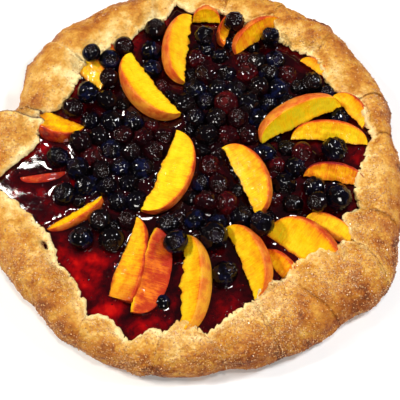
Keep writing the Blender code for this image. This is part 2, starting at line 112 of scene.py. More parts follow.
soft_box("window_left", (-0.39, 0.64, 1.33), 0.052, 0.050, 0.82, (255, 252, 245))
soft_box("window_right", (-0.22, 0.72, 1.33), 0.048, 0.046, 0.72, (255, 252, 245))
soft_box("side_box_left", (-1.20, 0.25, 1.10), 0.24, 0.24, 20.0, (255, 250, 242))
soft_box("side_box_right", (1.10, 0.40, 1.10), 0.24, 0.24, 15.5, (245, 248, 255))
soft_box("front_box", (0.30, -1.30, 1.20), 0.38, 0.24, 12.0, (255, 250, 244))
soft_box("top_box", (0.18, 0.05, 1.60), 0.22, 0.22, 7.5, (255, 252, 248))

world = bpy.data.worlds.new("room")
world.use_nodes = True
world.node_tree.nodes["Background"].inputs["Color"].default_value = srgb(235, 240, 250)
world.node_tree.nodes["Background"].inputs["Strength"].default_value = 0.06
bpy.context.scene.world = world


def deselect_all():
    bpy.ops.object.select_all(action="DESELECT")


def make_active(thing):
    """Select one object alone, so that the next steps work on it."""
    deselect_all()
    thing.select_set(True)
    bpy.context.view_layer.objects.active = thing


def edit_mode():
    bpy.ops.object.mode_set(mode="EDIT")


def object_mode():
    bpy.ops.object.mode_set(mode="OBJECT")


def face_outwards():
    """From edit mode: turn every face of the mesh outwards, and leave edit mode."""
    bpy.ops.mesh.select_all(action="SELECT")
    bpy.ops.mesh.normals_make_consistent(inside=False)
    object_mode()


def unit(values):
    """Values held between 0 and 1."""
    return np.clip(values, 0.0, 1.0)


def new_sphere(sides, rings):
    """A sphere of radius 1 with its poles up and down, the only thing selected."""
    deselect_all()
    bpy.ops.mesh.primitive_uv_sphere_add(segments=sides, ring_count=rings, radius=1.0)
    return bpy.context.object


def repeat_mesh(thing, count):
    """Repeat the selected object's mesh within itself."""
    repeated = thing.modifiers.new("repeated", "ARRAY")
    repeated.count = count
    bpy.ops.object.modifier_apply(modifier=repeated.name)


def node(tree, kind, **values):
    """A shader node; a value goes to the input or the setting that has its name."""
    made = tree.nodes.new(kind)
    for name, value in values.items():
        label = name.replace("_", " ").title()
        if hasattr(made, name):
            setattr(made, name, value)
        else:
            made.inputs[label].default_value = value
    return made


def principled(name, **values):
    """A new material with plain values on its shader; gives the material, its tree and shader."""
    material = bpy.data.materials.new(name)
    material.use_nodes = True
    tree = material.node_tree
    shader = tree.nodes["Principled BSDF"]
    for label, value in values.items():
        shader.inputs[label.replace("_", " ").title().replace("Ior", "IOR")].default_value = value
    return material, tree, shader


def feed(tree, shader, **sources):
    """Link outputs to the shader's inputs that have their names."""
    for label, source in sources.items():
        tree.links.new(source, shader.inputs[label.replace("_", " ").title()])


def make_group(name, inputs, outputs):
    """An empty node group with these sockets; gives the group and its two end nodes."""
    group = bpy.data.node_groups.new(name, "ShaderNodeTree")
    for side, sockets in (("INPUT", inputs), ("OUTPUT", outputs)):
        for label, kind in sockets.items():
            group.interface.new_socket(label, in_out=side, socket_type="NodeSocket" + kind)
    return group, group.nodes.new("NodeGroupInput"), group.nodes.new("NodeGroupOutput")


def wire(tree, source, output, target, socket):
    tree.links.new(source.outputs[output], target.inputs[socket])


def place_group(tree, group, place, **values):
    """One use of a group in a material, fed with a position and its own values."""
    made = tree.nodes.new("ShaderNodeGroup")
    made.node_tree = group
    tree.links.new(place, made.inputs["Place"])
    for name, value in values.items():
        made.inputs[name.replace("_", " ").title()].default_value = value
    return made


# Patches: soft-edged spots of noise, from 0 to 1.
patches, ends_in, ends_out = make_group(
    "patches", {"Place": "Vector", "Scale": "Float", "Low": "Float", "High": "Float"},
    {"Mask": "Float"})
spots = node(patches, "ShaderNodeTexNoise", detail=4.0, roughness=0.6)
spread = node(patches, "ShaderNodeMapRange", interpolation_type="SMOOTHSTEP")
wire(patches, ends_in, "Place", spots, "Vector")
wire(patches, ends_in, "Scale", spots, "Scale")
wire(patches, spots, "Fac", spread, "Value")
wire(patches, ends_in, "Low", spread, "From Min")
wire(patches, ends_in, "High", spread, "From Max")
wire(patches, spread, "Result", ends_out, "Mask")


def patch_mask(tree, place, scale, low, high):
    """A mask of patches, for one use in a material."""
    return place_group(tree, patches, place, scale=scale, low=low, high=high).outputs["Mask"]


# Grain: fine relief of noise and of small cells, as a bumped normal.
grain, ends_in, ends_out = make_group(
    "grain", {"Place": "Vector", "Scale": "Float", "Cells": "Float", "Depth": "Float"},
    {"Normal": "Vector"})
rough = node(grain, "ShaderNodeTexNoise", detail=5.0, roughness=0.65)
cells = node(grain, "ShaderNodeTexVoronoi", feature="F1")
cell_share = node(grain, "ShaderNodeMath", operation="MULTIPLY")
total = node(grain, "ShaderNodeMath", operation="SUBTRACT")
raise_it = node(grain, "ShaderNodeBump")
wire(grain, ends_in, "Place", rough, "Vector")
wire(grain, ends_in, "Scale", rough, "Scale")
wire(grain, ends_in, "Place", cells, "Vector")
wire(grain, ends_in, "Scale", cells, "Scale")
wire(grain, cells, "Distance", cell_share, 0)
wire(grain, ends_in, "Cells", cell_share, 1)
wire(grain, rough, "Fac", total, 0)
wire(grain, cell_share, "Value", total, 1)
wire(grain, total, "Value", raise_it, "Height")
wire(grain, ends_in, "Depth", raise_it, "Distance")
wire(grain, raise_it, "Normal", ends_out, "Normal")


def grain_normal(tree, place, scale, share_of_cells, depth):
    """The normal of a grain, depth in mm, for one use in a material."""
    made = place_group(tree, grain, place, scale=scale, cells=share_of_cells, depth=depth * MM)
    return made.outputs["Normal"]


def ramp(tree, factor, stops):
    """A colour ramp over stops of place and colour."""
    made = tree.nodes.new("ShaderNodeValToRGB")
    band = made.color_ramp
    while len(band.elements) < len(stops):
        band.elements.new(0.5)
    for element, (place, colour) in zip(band.elements, stops):
        element.position = place
        element.color = srgb(*colour)
    tree.links.new(factor, made.inputs["Fac"])
    return made.outputs["Color"]


def blend_colour(tree, factor, below, above):
    """One colour over another; each is a socket, or a colour written 0 to 255."""
    made = tree.nodes.new("ShaderNodeMix")
    made.data_type = "RGBA"
    made.clamp_factor = True
    sockets = (made.inputs[0], made.inputs[6], made.inputs[7])
    for value, socket in zip((factor, below, above), sockets):
        if isinstance(value, tuple):
            socket.default_value = srgb(*value)
        elif isinstance(value, float):
            socket.default_value = value
        else:
            tree.links.new(value, socket)
    return made.outputs[2]


def calculate(tree, operation, *values, clamp=False):
    """A math node over sockets or plain numbers, held between 0 and 1 if asked."""
    made = tree.nodes.new("ShaderNodeMath")
    made.operation = operation
    made.use_clamp = clamp
    for value, socket in zip(values, made.inputs):
        if isinstance(value, (int, float)):
            socket.default_value = value
        else:
            tree.links.new(value, socket)
    return made.outputs["Value"]


def times(tree, *values):
    return calculate(tree, "MULTIPLY", *values)


def times_plus(tree, *values, clamp=False):
    return calculate(tree, "MULTIPLY_ADD", *values, clamp=clamp)


def less(tree, *values, clamp=False):
    return calculate(tree, "SUBTRACT", *values, clamp=clamp)


def object_place(tree):
    return tree.nodes.new("ShaderNodeTexCoord").outputs["Object"]


def attribute(tree, name):
    """The three parts of a colour kept in a mesh's points."""
    source = node(tree, "ShaderNodeAttribute", attribute_name=name)
    split = tree.nodes.new("ShaderNodeSeparateColor")
    tree.links.new(source.outputs["Color"], split.inputs["Color"])
    return split.outputs["Red"], split.outputs["Green"], split.outputs["Blue"]


def keep_colour(thing, name, red, green, blue):
    """Write three values for each point of a mesh, which its material reads."""
    layer = thing.data.color_attributes.new(name, "FLOAT_COLOR", "POINT")
    count = len(thing.data.vertices)
    parts = [np.broadcast_to(np.asarray(part, float), (count,)) for part in (red, green, blue)]
    values = np.stack(parts + [np.ones(count)], axis=1)
    layer.data.foreach_set("color", unit(values).astype(np.float32).ravel())


def points_of(thing):
    co = np.empty(len(thing.data.vertices) * 3)
    thing.data.vertices.foreach_get("co", co)
    return co.reshape(-1, 3)


def move_points(thing, points):
    thing.data.vertices.foreach_set("co", np.ascontiguousarray(points).ravel())
    thing.data.update()


def finish_piece(thing, name, material, replaced=(), smooth=None):
    """Name a finished piece, give it its material, and let it ride on the galette."""
    thing.name = name
    thing.data.name = name
    thing.data.materials.clear()
    thing.data.materials.append(material)
    make_active(thing)
    if smooth is None:
        bpy.ops.object.shade_smooth()
    else:
        bpy.ops.object.shade_smooth_by_angle(angle=math.radians(smooth))
    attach(thing, "root")
    if replaced:
        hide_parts(*replaced)
    deselect_all()


deselect_all()
bpy.ops.mesh.primitive_plane_add(size=4.0)
floor = bpy.context.object
floor.name = "floor"
floor_stuff, tree, shader = principled("pale floor", roughness=0.8)
mottle = patch_mask(tree, object_place(tree), 3.0, 0.2, 0.8)
feed(tree, shader, base_color=blend_colour(tree, mottle, (240, 240, 239), (246, 246, 245)))
floor.data.materials.append(floor_stuff)

# ------------------------------------------------------------------ pastry case
# One round sheet of butter pastry. Its border is folded in over the fruit in twenty loose
# pleats, and baked golden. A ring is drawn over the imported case, pleat by pleat, and gets
# puffed lumps, torn thin edges and cracks; its foot is closed under the filling.

COLUMN_GAP = 0.95         # mm between two columns of the border
FOLD_GAP = 0.8            # degrees; two corners of the foot closer than this are a fold
FOOT_INSET = 2.5          # mm from the rim's widest line in to its foot
FILLING_GAP = 0.6         # mm from the filling's foot to the pastry
LIP_ABOVE_JUICE = 4.6     # mm
CREST_SHARE = 0.54        # where the border is highest, as a share of its width
ROWS_BETWEEN = (2, 4, 6, 7, 9, 10, 9, 6, 5, 4, 2, 1)
PASTRY_SEED = Vector((3.7, 9.1, 5.3))
OVER_SLICE = 1.3          # mm of dough over a slice's tucked end
LIFT_CAP = 6.0            # mm that the dough rises there at most
MEAN_RADIUS = 118.0       # mm from the axis to the border's middle
HOLE_BEARING = 214.0      # degrees
HOLE_BACK = 4.2           # mm from the edge
HOLE_DEPTH = 7.5          # mm
SHADED_SIDE = 15.0          # bearing in degrees of the side painted darkest, as shade
SUGAR_FRONT = 285.0       # bearing in degrees of the side with the most sugar
DOWN = Vector((0.0, 0.0, -1.0))
SKY = 100.0               # mm; a height above everything, from which to look down

juice_top = max(v.co.z for v in nodes["filling"].data.vertices) / MM


def tree_of(*things):
    """A search tree over the meshes of several objects."""
    corners = []
    faces = []
    for thing in things:
        start = len(corners)
        corners += [v.co.copy() for v in thing.data.vertices]
        faces += [[start + index for index in face.vertices] for face in thing.data.polygons]
    return BVHTree.FromPolygons(corners, faces)


def foot_by_pleat(cad, extra):
    """For each pleat, the bearings and radii (degrees, mm) of a CAD node's lowest outline."""
    points = points_of(cad)
    low = points[points[:, 2] < points[:, 2].min() + 0.05 * MM][:, :2]
    low = np.unique(np.round(low, 6), axis=0) / MM
    bearings = np.degrees(np.arctan2(low[:, 1], low[:, 0])) % 360.0
    order = np.argsort(bearings)
    bearings = bearings[order]
    radii = np.hypot(low[order, 0], low[order, 1]) + extra
    gaps = np.diff(np.append(bearings, bearings[0] + 360.0))
    folds = np.nonzero(gaps < FOLD_GAP)[0]
    pleats = []
    for start, end in zip(folds, np.append(folds[1:], folds[0] + len(bearings))):
        picks = np.arange(start + 1, end + 1)
        turn = 360.0 * (picks // len(bearings))
        pleats.append((bearings[picks % len(bearings)] + turn, radii[picks % len(bearings)]))
    return pleats


def ease_kinks(values, width):
    """Round off the corners of a run of values without moving its ends."""
    width = max(1, min(width, len(values) // 3))
    window = np.hanning(2 * width + 3)[1:-1]
    window /= window.sum()
    head = 2.0 * values[0] - values[width:0:-1]
    tail = 2.0 * values[-1] - values[-2:-width - 2:-1]
    return np.convolve(np.concatenate([head, values, tail]), window, "valid")


crust_tree = tree_of(nodes["crust"])
inner_pleats = foot_by_pleat(nodes["filling"], FILLING_GAP)
outer_pleats = foot_by_pleat(nodes["crust"], FOOT_INSET)


def crest_height(bearing, radius):
    """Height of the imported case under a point, in mm."""
    angle = math.radians(bearing)
    above = Vector((radius * math.cos(angle), radius * math.sin(angle), SKY)) * MM
    return crust_tree.ray_cast(above, DOWN)[0].z / MM


def pleat_columns(inner, outer):
    """Columns across one pleat: bearing and radius inside, the same outside, and crest."""
    count = max(7, round(np.ptp(inner[0]) * math.radians(outer[1].mean()) / COLUMN_GAP))
    share = np.linspace(0.0, 1.0, count)
    columns = []
    for bearings, radii in (inner, outer):
        along = (bearings - bearings[0]) / np.ptp(bearings)
        columns.append(bearings[0] + share * np.ptp(bearings))
        columns.append(ease_kinks(np.interp(share, along, radii), 5))
    bearing = columns[0] + CREST_SHARE * (columns[2] - columns[0])
    radius = columns[1] + CREST_SHARE * (columns[3] - columns[1])
    height = np.array([crest_height(b, r) for b, r in zip(bearing, radius)])
    return np.stack(columns + [ease_kinks(height, 5)], axis=1)


# Between two pleats four more columns turn under the upper one's edge, so that it overhangs:
# share of the upper pleat, turn in degrees, and drop in mm.
FOLD_COLUMNS = ((0.00, 0.35, -1.1), (0.22, 0.05, -0.5), (0.55, -0.80, -0.2), (0.92, -0.55, 0.1))

# Some folds stay open in the oven, others bake into soft valleys, and the rest nearly close.
CLEAR_FOLDS = (22.0, 103.0, 134.0, 161.0, 164.5, 331.5)     # bearings in degrees
SOFT_FOLDS = (95.0, 254.0, 263.0, 275.0, 292.0)
SOFT_CLEARNESS = 0.50
FAINT_CLEARNESS = 0.16
SAME_FOLD = 3.0           # degrees


def clearness_of_fold(bearing):
    """How open a fold has stayed, from 0 to 1."""
    for bearings, clearness in ((CLEAR_FOLDS, 1.0), (SOFT_FOLDS, SOFT_CLEARNESS)):
        if min(abs(bearing % 360.0 - other) for other in bearings) < SAME_FOLD:
            return clearness
    return FAINT_CLEARNESS


runs = [pleat_columns(inner, outer) for inner, outer in zip(inner_pleats, outer_pleats)]
columns = []
fold_drop = []
fold_near = []
fold_clear = []
leak = []
leak_pleat = min(range(len(runs)), key=lambda index: runs[index][:, 3].mean())
for index, run in enumerate(runs):
    steps = np.arange(len(run))
    clear = clearness_of_fold(run[-1][0])
    clear_before = clearness_of_fold(runs[index - 1][-1][0])
    near = np.exp(-(len(run) - 1 - steps) / (2.6 + 3.0 * (1.0 - clear)))
    columns += list(run)
    fold_drop += list((-0.5 - 0.4 * clear) * near + clear_before * 0.5 * np.exp(-steps / 2.0))
    fold_near += list(np.maximum(clear * near, 0.4 * clear_before * np.exp(-steps / 1.5)))
    fold_clear += list(np.where(steps > 0.5 * len(run), clear, clear_before))
    leak += list(near * (index in (leak_pleat, leak_pleat - 1)))
    after = runs[(index + 1) % len(runs)][0].copy()
    if after[0] < run[-1][0]:
        after[0] += 360.0
        after[2] += 360.0
    for share, turn, drop in FOLD_COLUMNS:
        column = run[-1] + share * (after - run[-1])
        column[0] = run[-1][0] + 0.35 + clear * turn
        column[2] = run[-1][2] + 0.35 + 0.35 * clear * turn
        columns.append(column)
        fold_drop.append(clear * drop - 0.5 * (1.0 - clear))
        fold_near.append(clear)
        fold_clear.append(clear)
        leak.append(1.0 if index in (leak_pleat, leak_pleat - 1) else 0.0)
columns = np.array(columns)
fold_drop, fold_near, fold_clear, leak = (
    np.array(values) for values in (fold_drop, fold_near, fold_clear, leak))
column_count = len(columns)


def border_guides(columns):
    """Guide points of the border's section, radius and height, from the foot outside to inside."""
    inner, outer, crest = columns[:, 1], columns[:, 3], columns[:, 4]
    width = outer - inner
    lip = juice_top + LIP_ABOVE_JUICE
    flat = np.zeros(len(columns))
    guides = (
        (outer - 3.4, flat),
        (outer - 0.9, 0.10 * crest),
        (outer, 0.30 * crest),
        (inner + 0.94 * width, 0.60 * crest),
        (inner + 0.78 * width, 0.86 * crest),
        (inner + CREST_SHARE * width, crest),
        (inner + 0.30 * width, lip + 0.75 * (crest - lip)),
        (inner + 3.2, flat + lip + 0.2),
        (inner + 0.6, flat + lip - 0.6),
        (inner - 0.6, flat + lip - 2.3),
        (inner + 1.0, flat + lip - 3.9),
        (inner + 1.7, flat + 12.0),
        (inner + 1.7, flat + 4.2),
    )
    return np.array(guides).transpose(2, 0, 1)


def smooth_rows(guides, rows_between):
    """Catmull-Rom curve through each column's guide points."""
    count = guides.shape[1]
    rows = []
    places = []
    for span, steps in enumerate(rows_between):
        picks = [min(max(span + k, 0), count - 1) for k in (-1, 0, 1, 2)]
        before, start, end, after = (guides[:, pick] for pick in picks)
        for step in range(steps + (span == len(rows_between) - 1)):
            t = step / steps
            rows.append(0.5 * (2.0 * start + (end - before) * t
                               + (2.0 * before - 5.0 * start + 4.0 * end - after) * t ** 2
                               + (3.0 * start - before - 3.0 * end + after) * t ** 3))
            places.append(span + t)
    return np.stack(rows, axis=1), np.array(places)


section, row_place = smooth_rows(border_guides(columns), ROWS_BETWEEN)
row_count = len(row_place)
radius = section[:, :, 0]
height = section[:, :, 1]
width_share = (radius - columns[:, 1:2]) / (columns[:, 3:4] - columns[:, 1:2])
bearing = np.radians(columns[:, 0:1] + (columns[:, 2:3] - columns[:, 0:1]) * unit(width_share))


def by_row(places, values):
    """A value for each row of the border, from its values at some places of the section."""
    return np.interp(row_place, places, values)


# A fold is deepest on the border's inner half and fades out towards the foot.
fold_rows = by_row((0.0, 2.0, 4.0, 5.5, 9.0, 10.0), (0.0, 0.35, 0.8, 1.0, 0.9, 0.0))
fold_strength = fold_rows[None, :] ** (1.0 + 2.5 * (1.0 - fold_clear[:, None]))
height = height + fold_drop[:, None] * fold_strength

# The thin inner edge is ragged: tears of a few millimetres, and a hollow under it.
lip_weight = by_row((5.6, 7.0, 8.0, 9.0, 10.0, 11.0), (0.0, 0.45, 1.0, 1.0, 0.6, 0.0))


def noise_over(points, size, kind="smooth", shift=0.0):
    """Noise at each point, its lumps of a size in mm: about -1 to 1, or 0 to 1 if ridged."""
    origin = PASTRY_SEED + Vector((shift, 2.0 * shift, 3.0 * shift))
    values = np.empty(len(points))
    for index, point in enumerate(points):
        spot = Vector(point) / size + origin
        if kind == "smooth":
            values[index] = noise.noise(spot)
        elif kind == "fractal":
            values[index] = noise.fractal(spot, 0.7, 2.0, 4)
        else:
            values[index] = abs(noise.noise(spot))
    return values


edge_line = np.stack([columns[:, 1] * np.cos(np.radians(columns[:, 0])),
                      columns[:, 1] * np.sin(np.radians(columns[:, 0])),
                      np.zeros(column_count)], axis=1)
ragged = (1.5 * noise_over(edge_line, 9.0) + 1.1 * noise_over(edge_line, 3.6, shift=1.0)
          + 0.6 * noise_over(edge_line, 1.7, shift=2.0))
tears = unit(0.10 - noise_over(edge_line, 5.5, "ridged", 3.0)) * 22.0
radius = radius + (ragged + tears)[:, None] * lip_weight[None, :]

points = np.stack([radius * np.cos(bearing), radius * np.sin(bearing), height], axis=2)


def grid_normals(grid):
    """Outward normals of the border's grid of points."""
    across = np.roll(grid, -1, axis=0) - np.roll(grid, 1, axis=0)
    along = np.gradient(grid, axis=1)
    normal = np.cross(along, across)
    normal /= np.maximum(np.linalg.norm(normal, axis=2, keepdims=True), 1e-9)
    middle = grid.mean(axis=1, keepdims=True)
    outwards = np.sign(((grid - middle) * normal).sum(axis=2).mean())
    return normal * outwards


def blur(field, across, along, rounds=2):
    """Soften a field of values over the border's grid."""
    for _ in range(rounds):
        for reach, axis in ((across, 0), (along, 1)):
            total = np.zeros_like(field)
            for step in range(-reach, reach + 1):
                if axis == 0:
                    total += np.roll(field, step, axis=0)
                else:
                    picks = np.clip(np.arange(field.shape[1]) + step, 0, field.shape[1] - 1)
                    total += field[:, picks]
            field = total / (2 * reach + 1)
    return field


# Where a slice's end is tucked under the border, the dough rises over it.
peach_cads = [nodes[name] for name in sorted(nodes) if name.startswith("peach_")]
peach_tree = tree_of(*peach_cads)
flat_points = points.reshape(-1, 3)
lift = np.zeros(len(flat_points))
top_rows = np.tile((row_place > 4.8) & (row_place < 8.6), column_count)
for index in np.nonzero(top_rows)[0]:
    x, y, z = flat_points[index]
    hit = peach_tree.ray_cast(Vector((x, y, SKY)) * MM, DOWN)[0]
    if hit is not None:
        lift[index] = max(0.0, hit.z / MM + OVER_SLICE - z)
lift = lift.reshape(column_count, row_count)
lift = np.maximum(lift, blur(lift, 4, 2))
lift = np.maximum(blur(lift, 3, 2, 1), 0.8 * lift)
points[:, :, 2] += np.minimum(lift, LIFT_CAP) * by_row((4.0, 5.0, 8.6, 10.0), (0.0, 1.0, 1.0, 0.0))

# Puffed lumps, then cracks and a crumbly grain.
normals = grid_normals(points)
flat_points = points.reshape(-1, 3)
relief = 1.6 * noise_over(flat_points, 24.0) + 1.2 * noise_over(flat_points, 10.0, "fractal", 4.0)
relief += (0.50 * noise_over(flat_points, 3.6, "fractal", 5.0)
           + 0.20 * noise_over(flat_points, 1.9, shift=9.0))

# Gathers: narrow wrinkles that run from the inner edge outwards, where the dough was drawn in.
gathered = np.stack([bearing * MEAN_RADIUS, 0.24 * radius, np.zeros_like(radius)], axis=2)
gathers = noise_over(gathered.reshape(-1, 3), 5.5, shift=16.0).reshape(column_count, row_count)
relief += (gathers * by_row((3.5, 5.5, 7.5, 9.0, 10.0), (0.0, 0.5, 1.0, 0.8, 0.0))).ravel()
cracks = unit(0.07 - noise_over(flat_points, 8.0, "ridged", 6.0)) / 0.07
crack_zone = unit(noise_over(flat_points, 26.0, shift=7.0) * 2.2)
relief -= 0.8 * cracks * crack_zone
relief = relief.reshape(column_count, row_count)
relief_rows = by_row((0.0, 1.0, 2.5, 8.0, 9.0, 10.5), (0.0, 0.5, 1.0, 0.8, 0.6, 0.0))
points += normals * (relief * relief_rows[None, :])[:, :, None]

# A small hole behind the thin edge on the left, through which the juice shows.
hole_column = int(np.argmin(np.abs(columns[:, 0] - HOLE_BEARING)))
hole_angle = math.radians(HOLE_BEARING)
hole_radius = columns[hole_column, 1] + HOLE_BACK
hole_middle = np.array([hole_radius * math.cos(hole_angle), hole_radius * math.sin(hole_angle)])
outward = np.array([math.cos(hole_angle), math.sin(hole_angle)])
offset = points[:, :, :2] - hole_middle
back = offset @ outward
aside = offset @ np.array([-outward[1], outward[0]])
hole = np.exp(-(back / 1.5) ** 2 - (aside / 3.6) ** 2) * ((row_place > 4.5) & (row_place < 8.5))
points[:, :, 2] -= HOLE_DEPTH * hole

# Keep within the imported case's outline.
low_corner, high_corner = (np.array(corner) / MM for corner in cad_bounds)
points = np.clip(points, low_corner + 0.05, high_corner - 0.05)
points[:, 0, 2] = 0.0

# The border is one grid, bent round until its two ends meet.
deselect_all()
bpy.ops.mesh.primitive_grid_add(x_subdivisions=row_count - 1, y_subdivisions=column_count,
                                size=1.0)
crust = bpy.context.object
flat_grid = points_of(crust)
grid_row = np.rint((flat_grid[:, 0] + 0.5) * (row_count - 1)).astype(int)
grid_column = np.rint((flat_grid[:, 1] + 0.5) * column_count).astype(int) % column_count
move_points(crust, points[grid_column, grid_row] * MM)

top_share = by_row((0.0, 1.5, 3.0, 5.0, 6.5, 8.0, 9.0, 12.0),
                   (0.92, 0.76, 0.64, 0.50, 0.28, 0.04, -0.06, 0.1))
toast_and_shade = top_share[None, :] + 0.06 * relief - 0.26 * fold_near[:, None] * fold_strength
# Painted shade: the pastry is painted browner towards one side of the galette, as its shaded side.
side_shade = (0.5 + 0.5 * np.cos(np.radians(columns[:, 0] - SHADED_SIDE))) ** 2
toast_and_shade += 0.16 * side_shade[:, None] * by_row((0.0, 6.5, 9.0), (1.0, 0.9, 0.0))
seep = by_row((8.8, 9.8, 10.6, 12.0), (0.0, 0.35, 1.0, 1.0))
juice_mark = np.maximum(seep[None, :], unit(hole * 3.0 - 0.6))
juice_mark = np.maximum(juice_mark, leak[:, None] * fold_strength)
frost = unit(0.5 + 0.9 * noise_over(flat_points, 30.0, shift=8.0))
front_share = 0.60 + 0.40 * np.cos(np.radians(columns[:, 0] - SUGAR_FRONT))
frost = front_share[:, None] * frost.reshape(column_count, row_count)
frost *= by_row((1.0, 2.5, 6.3, 7.8), (0.0, 1.0, 1.0, 0.0))
baking_and_shade = (field[grid_column, grid_row] for field in (toast_and_shade, juice_mark, frost))
keep_colour(crust, "baking_and_shade", *baking_and_shade)

# Its ends are joined, and its foot is closed flat both outside and under the filling.
edit_mode()
bpy.ops.mesh.select_all(action="SELECT")
bpy.ops.mesh.remove_doubles(threshold=0.001 * MM)
bpy.ops.mesh.select_all(action="DESELECT")
bpy.ops.mesh.select_mode(type="VERT")
bpy.ops.mesh.select_non_manifold()
bpy.ops.mesh.fill_holes(sides=0)
face_outwards()

pastry, tree, shader = principled("baked pastry", roughness=0.6, specular_ior_level=0.2)
place = object_place(tree)
toasted_and_shaded, marked, frosted = attribute(tree, "baking_and_shade")
broad = patch_mask(tree, place, 42.0, 0.32, 0.68)
middling = patch_mask(tree, place, 150.0, 0.30, 0.70)
fine = patch_mask(tree, place, 560.0, 0.30, 0.70)
tone = times_plus(tree, broad, 0.42, toasted_and_shaded)
tone = times_plus(tree, less(tree, middling, 0.5), times_plus(tree, frosted, 0.22, 0.20), tone)
tone = times_plus(tree, less(tree, fine, 0.5), times_plus(tree, frosted, 0.34, 0.08), tone)
tone = less(tree, tone, 0.22, clamp=True)
baked = ramp(tree, tone, ((0.0, (246, 222, 158)), (0.2, (233, 190, 110)), (0.42, (209, 151, 58)),
                          (0.62, (186, 116, 35)), (0.82, (148, 74, 16)), (1.0, (96, 42, 10))))
sugary = patch_mask(tree, place, 75.0, 0.42, 0.66)
sugar_share = times(tree, times(tree, sugary, frosted), 0.40)
baked = blend_colour(tree, sugar_share, baked, (196, 142, 90))
grit = patch_mask(tree, place, 900.0, 0.60, 0.74)
baked = blend_colour(tree, times(tree, times(tree, grit, frosted), 0.5), baked, (238, 200, 130))
baked = blend_colour(tree, marked, baked, (70, 3, 8))
dull = times_plus(tree, fine, 0.25, 0.42)
unmarked = less(tree, 1.0, times(tree, marked, 0.85))
feed(tree, shader, base_color=baked, roughness=times(tree, dull, unmarked),
     normal=grain_normal(tree, place, 620.0, 0.5, 0.9))
finish_piece(crust, "pastry_case", pastry, ["crust"])

# ------------------------------------------------------------------ set juice
# Peach and berry juice, cooked to a clear dark red jelly that fills the case. It clings to the
# pastry and to the fruit and lies in slow ripples. Its colour is painted a brighter red where it
# is thin and in a few patches, as light shining through it, and darker close to the fruit, as
# painted shade.

JUICE_STEP = 1.05         # mm between two points of its surface
JUICE_REACH = 138.0       # half the side of the sheet it is cut from
INTO_DOUGH = 2.6          # mm
SURFACE_DROP = 0.4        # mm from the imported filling's top down to the flat juice
CLING_HEIGHT = 1.1        # mm; it climbs by a share of this where it touches something
CLING_REACH = 1.5
SIDE_DEPTH = 6.0          # mm from its surface to its foot, before the foot is made flat
FOOT_HEIGHT = 8.0         # mm
CALM_BEARING = 189.0      # bearing in degrees of the open pool where the juice lies flat
CALM_OUT = 0.90           # of the way from the middle to the pastry
CALM_REACH = 32.0         # mm

# Painted glow, where the juice is thin and clear and light shines through it: bearing in degrees,
# share of the way from the middle to the pastry, reach in mm, and strength.
GLOWS = ((229.0, 0.88, 20.0, 0.95), (205.0, 0.80, 12.0, 0.5), (258.0, 0.97, 11.0, 0.6),
         (281.0, 0.90, 13.0, 0.6), (4.0, 0.95, 12.0, 0.9), (18.0, 0.97, 12.0, 0.9),
         (72.0, 0.95, 13.0, 1.0), (84.0, 0.98, 8.0, 0.9), (115.0, 0.93, 10.0, 0.8),
         (146.0, 0.93, 9.0, 0.8), (312.0, 0.92, 10.0, 0.4))

berry_cads = [nodes[name] for name in sorted(nodes)
              if name.startswith("berry_") and name != "berry_heap"]
fruit_tree = tree_of(*peach_cads, *berry_cads, nodes["berry_heap"])

deselect_all()
steps = round(2.0 * JUICE_REACH / JUICE_STEP)
bpy.ops.mesh.primitive_grid_add(x_subdivisions=steps, y_subdivisions=steps,
                                size=2.0 * JUICE_REACH * MM)
juice = bpy.context.object

# The sheet is cut along the pastry's inner edge, a little way into the dough.
edge_bearing = np.radians(np.concatenate([run[:, 0] for run in runs]))
edge_radius = np.concatenate([run[:, 1] for run in runs])
edge_bearing %= 2.0 * math.pi
wall_order = np.argsort(edge_bearing)
wall_bearing = edge_bearing[wall_order]
wall_radius = edge_radius[wall_order]


def wall_at(points):
    """Distance from the axis to the pastry's inner wall along each point's bearing, in mm."""
    angles = np.arctan2(points[:, 1], points[:, 0]) % (2.0 * math.pi)
    return np.interp(angles, wall_bearing, wall_radius, period=2.0 * math.pi)


def clear_of_fruit(points):
    """Distance from each point to the nearest fruit, in mm."""
    return np.array([fruit_tree.find_nearest(Vector(point) * MM)[3] / MM for point in points])


def distance_from(bearing, out_share):
    """Distance in mm of the sheet's points from a spot, given as in the table of glows."""
    angle = math.radians(bearing)
    out = out_share * float(wall_at(np.array([[math.cos(angle), math.sin(angle)]]))[0])
    return np.hypot(sheet[:, 0] - out * math.cos(angle), sheet[:, 1] - out * math.sin(angle))


sheet = points_of(juice) / MM
keep = np.hypot(sheet[:, 0], sheet[:, 1]) < wall_at(sheet) + INTO_DOUGH
edit_mode()
bpy.ops.mesh.select_mode(type="VERT")
bpy.ops.mesh.select_all(action="DESELECT")
object_mode()
for vertex, kept in zip(juice.data.vertices, keep):
    vertex.select = not kept
edit_mode()
bpy.ops.mesh.delete(type="VERT")
object_mode()

sheet = points_of(juice) / MM
to_wall = wall_at(sheet) - np.hypot(sheet[:, 0], sheet[:, 1])
sheet[:, 2] = juice_top
to_fruit = clear_of_fruit(sheet)
sheet[:, 2] = 0.0
ripple = 0.07 * noise_over(sheet, 24.0, shift=11.0) + 0.03 * noise_over(sheet, 8.0, shift=12.0)
lumps = 0.30 * noise_over(sheet, 3.6, shift=13.0) + 0.12 * noise_over(sheet, 1.9, shift=18.0)
from_wall = np.maximum(to_wall, 0.0)
near_edge = np.exp(-np.minimum(to_fruit, from_wall) / 3.5)
lumpy = near_edge * unit(noise_over(sheet, 22.0, shift=14.0) * 2.0 + 0.6)
lumpy *= 1.0 - 0.92 * np.exp(-(distance_from(CALM_BEARING, CALM_OUT) / CALM_REACH) ** 4)
cling = CLING_HEIGHT * (0.45 * np.exp(-to_fruit / CLING_REACH)
                        + 0.04 * np.exp(-from_wall / CLING_REACH))
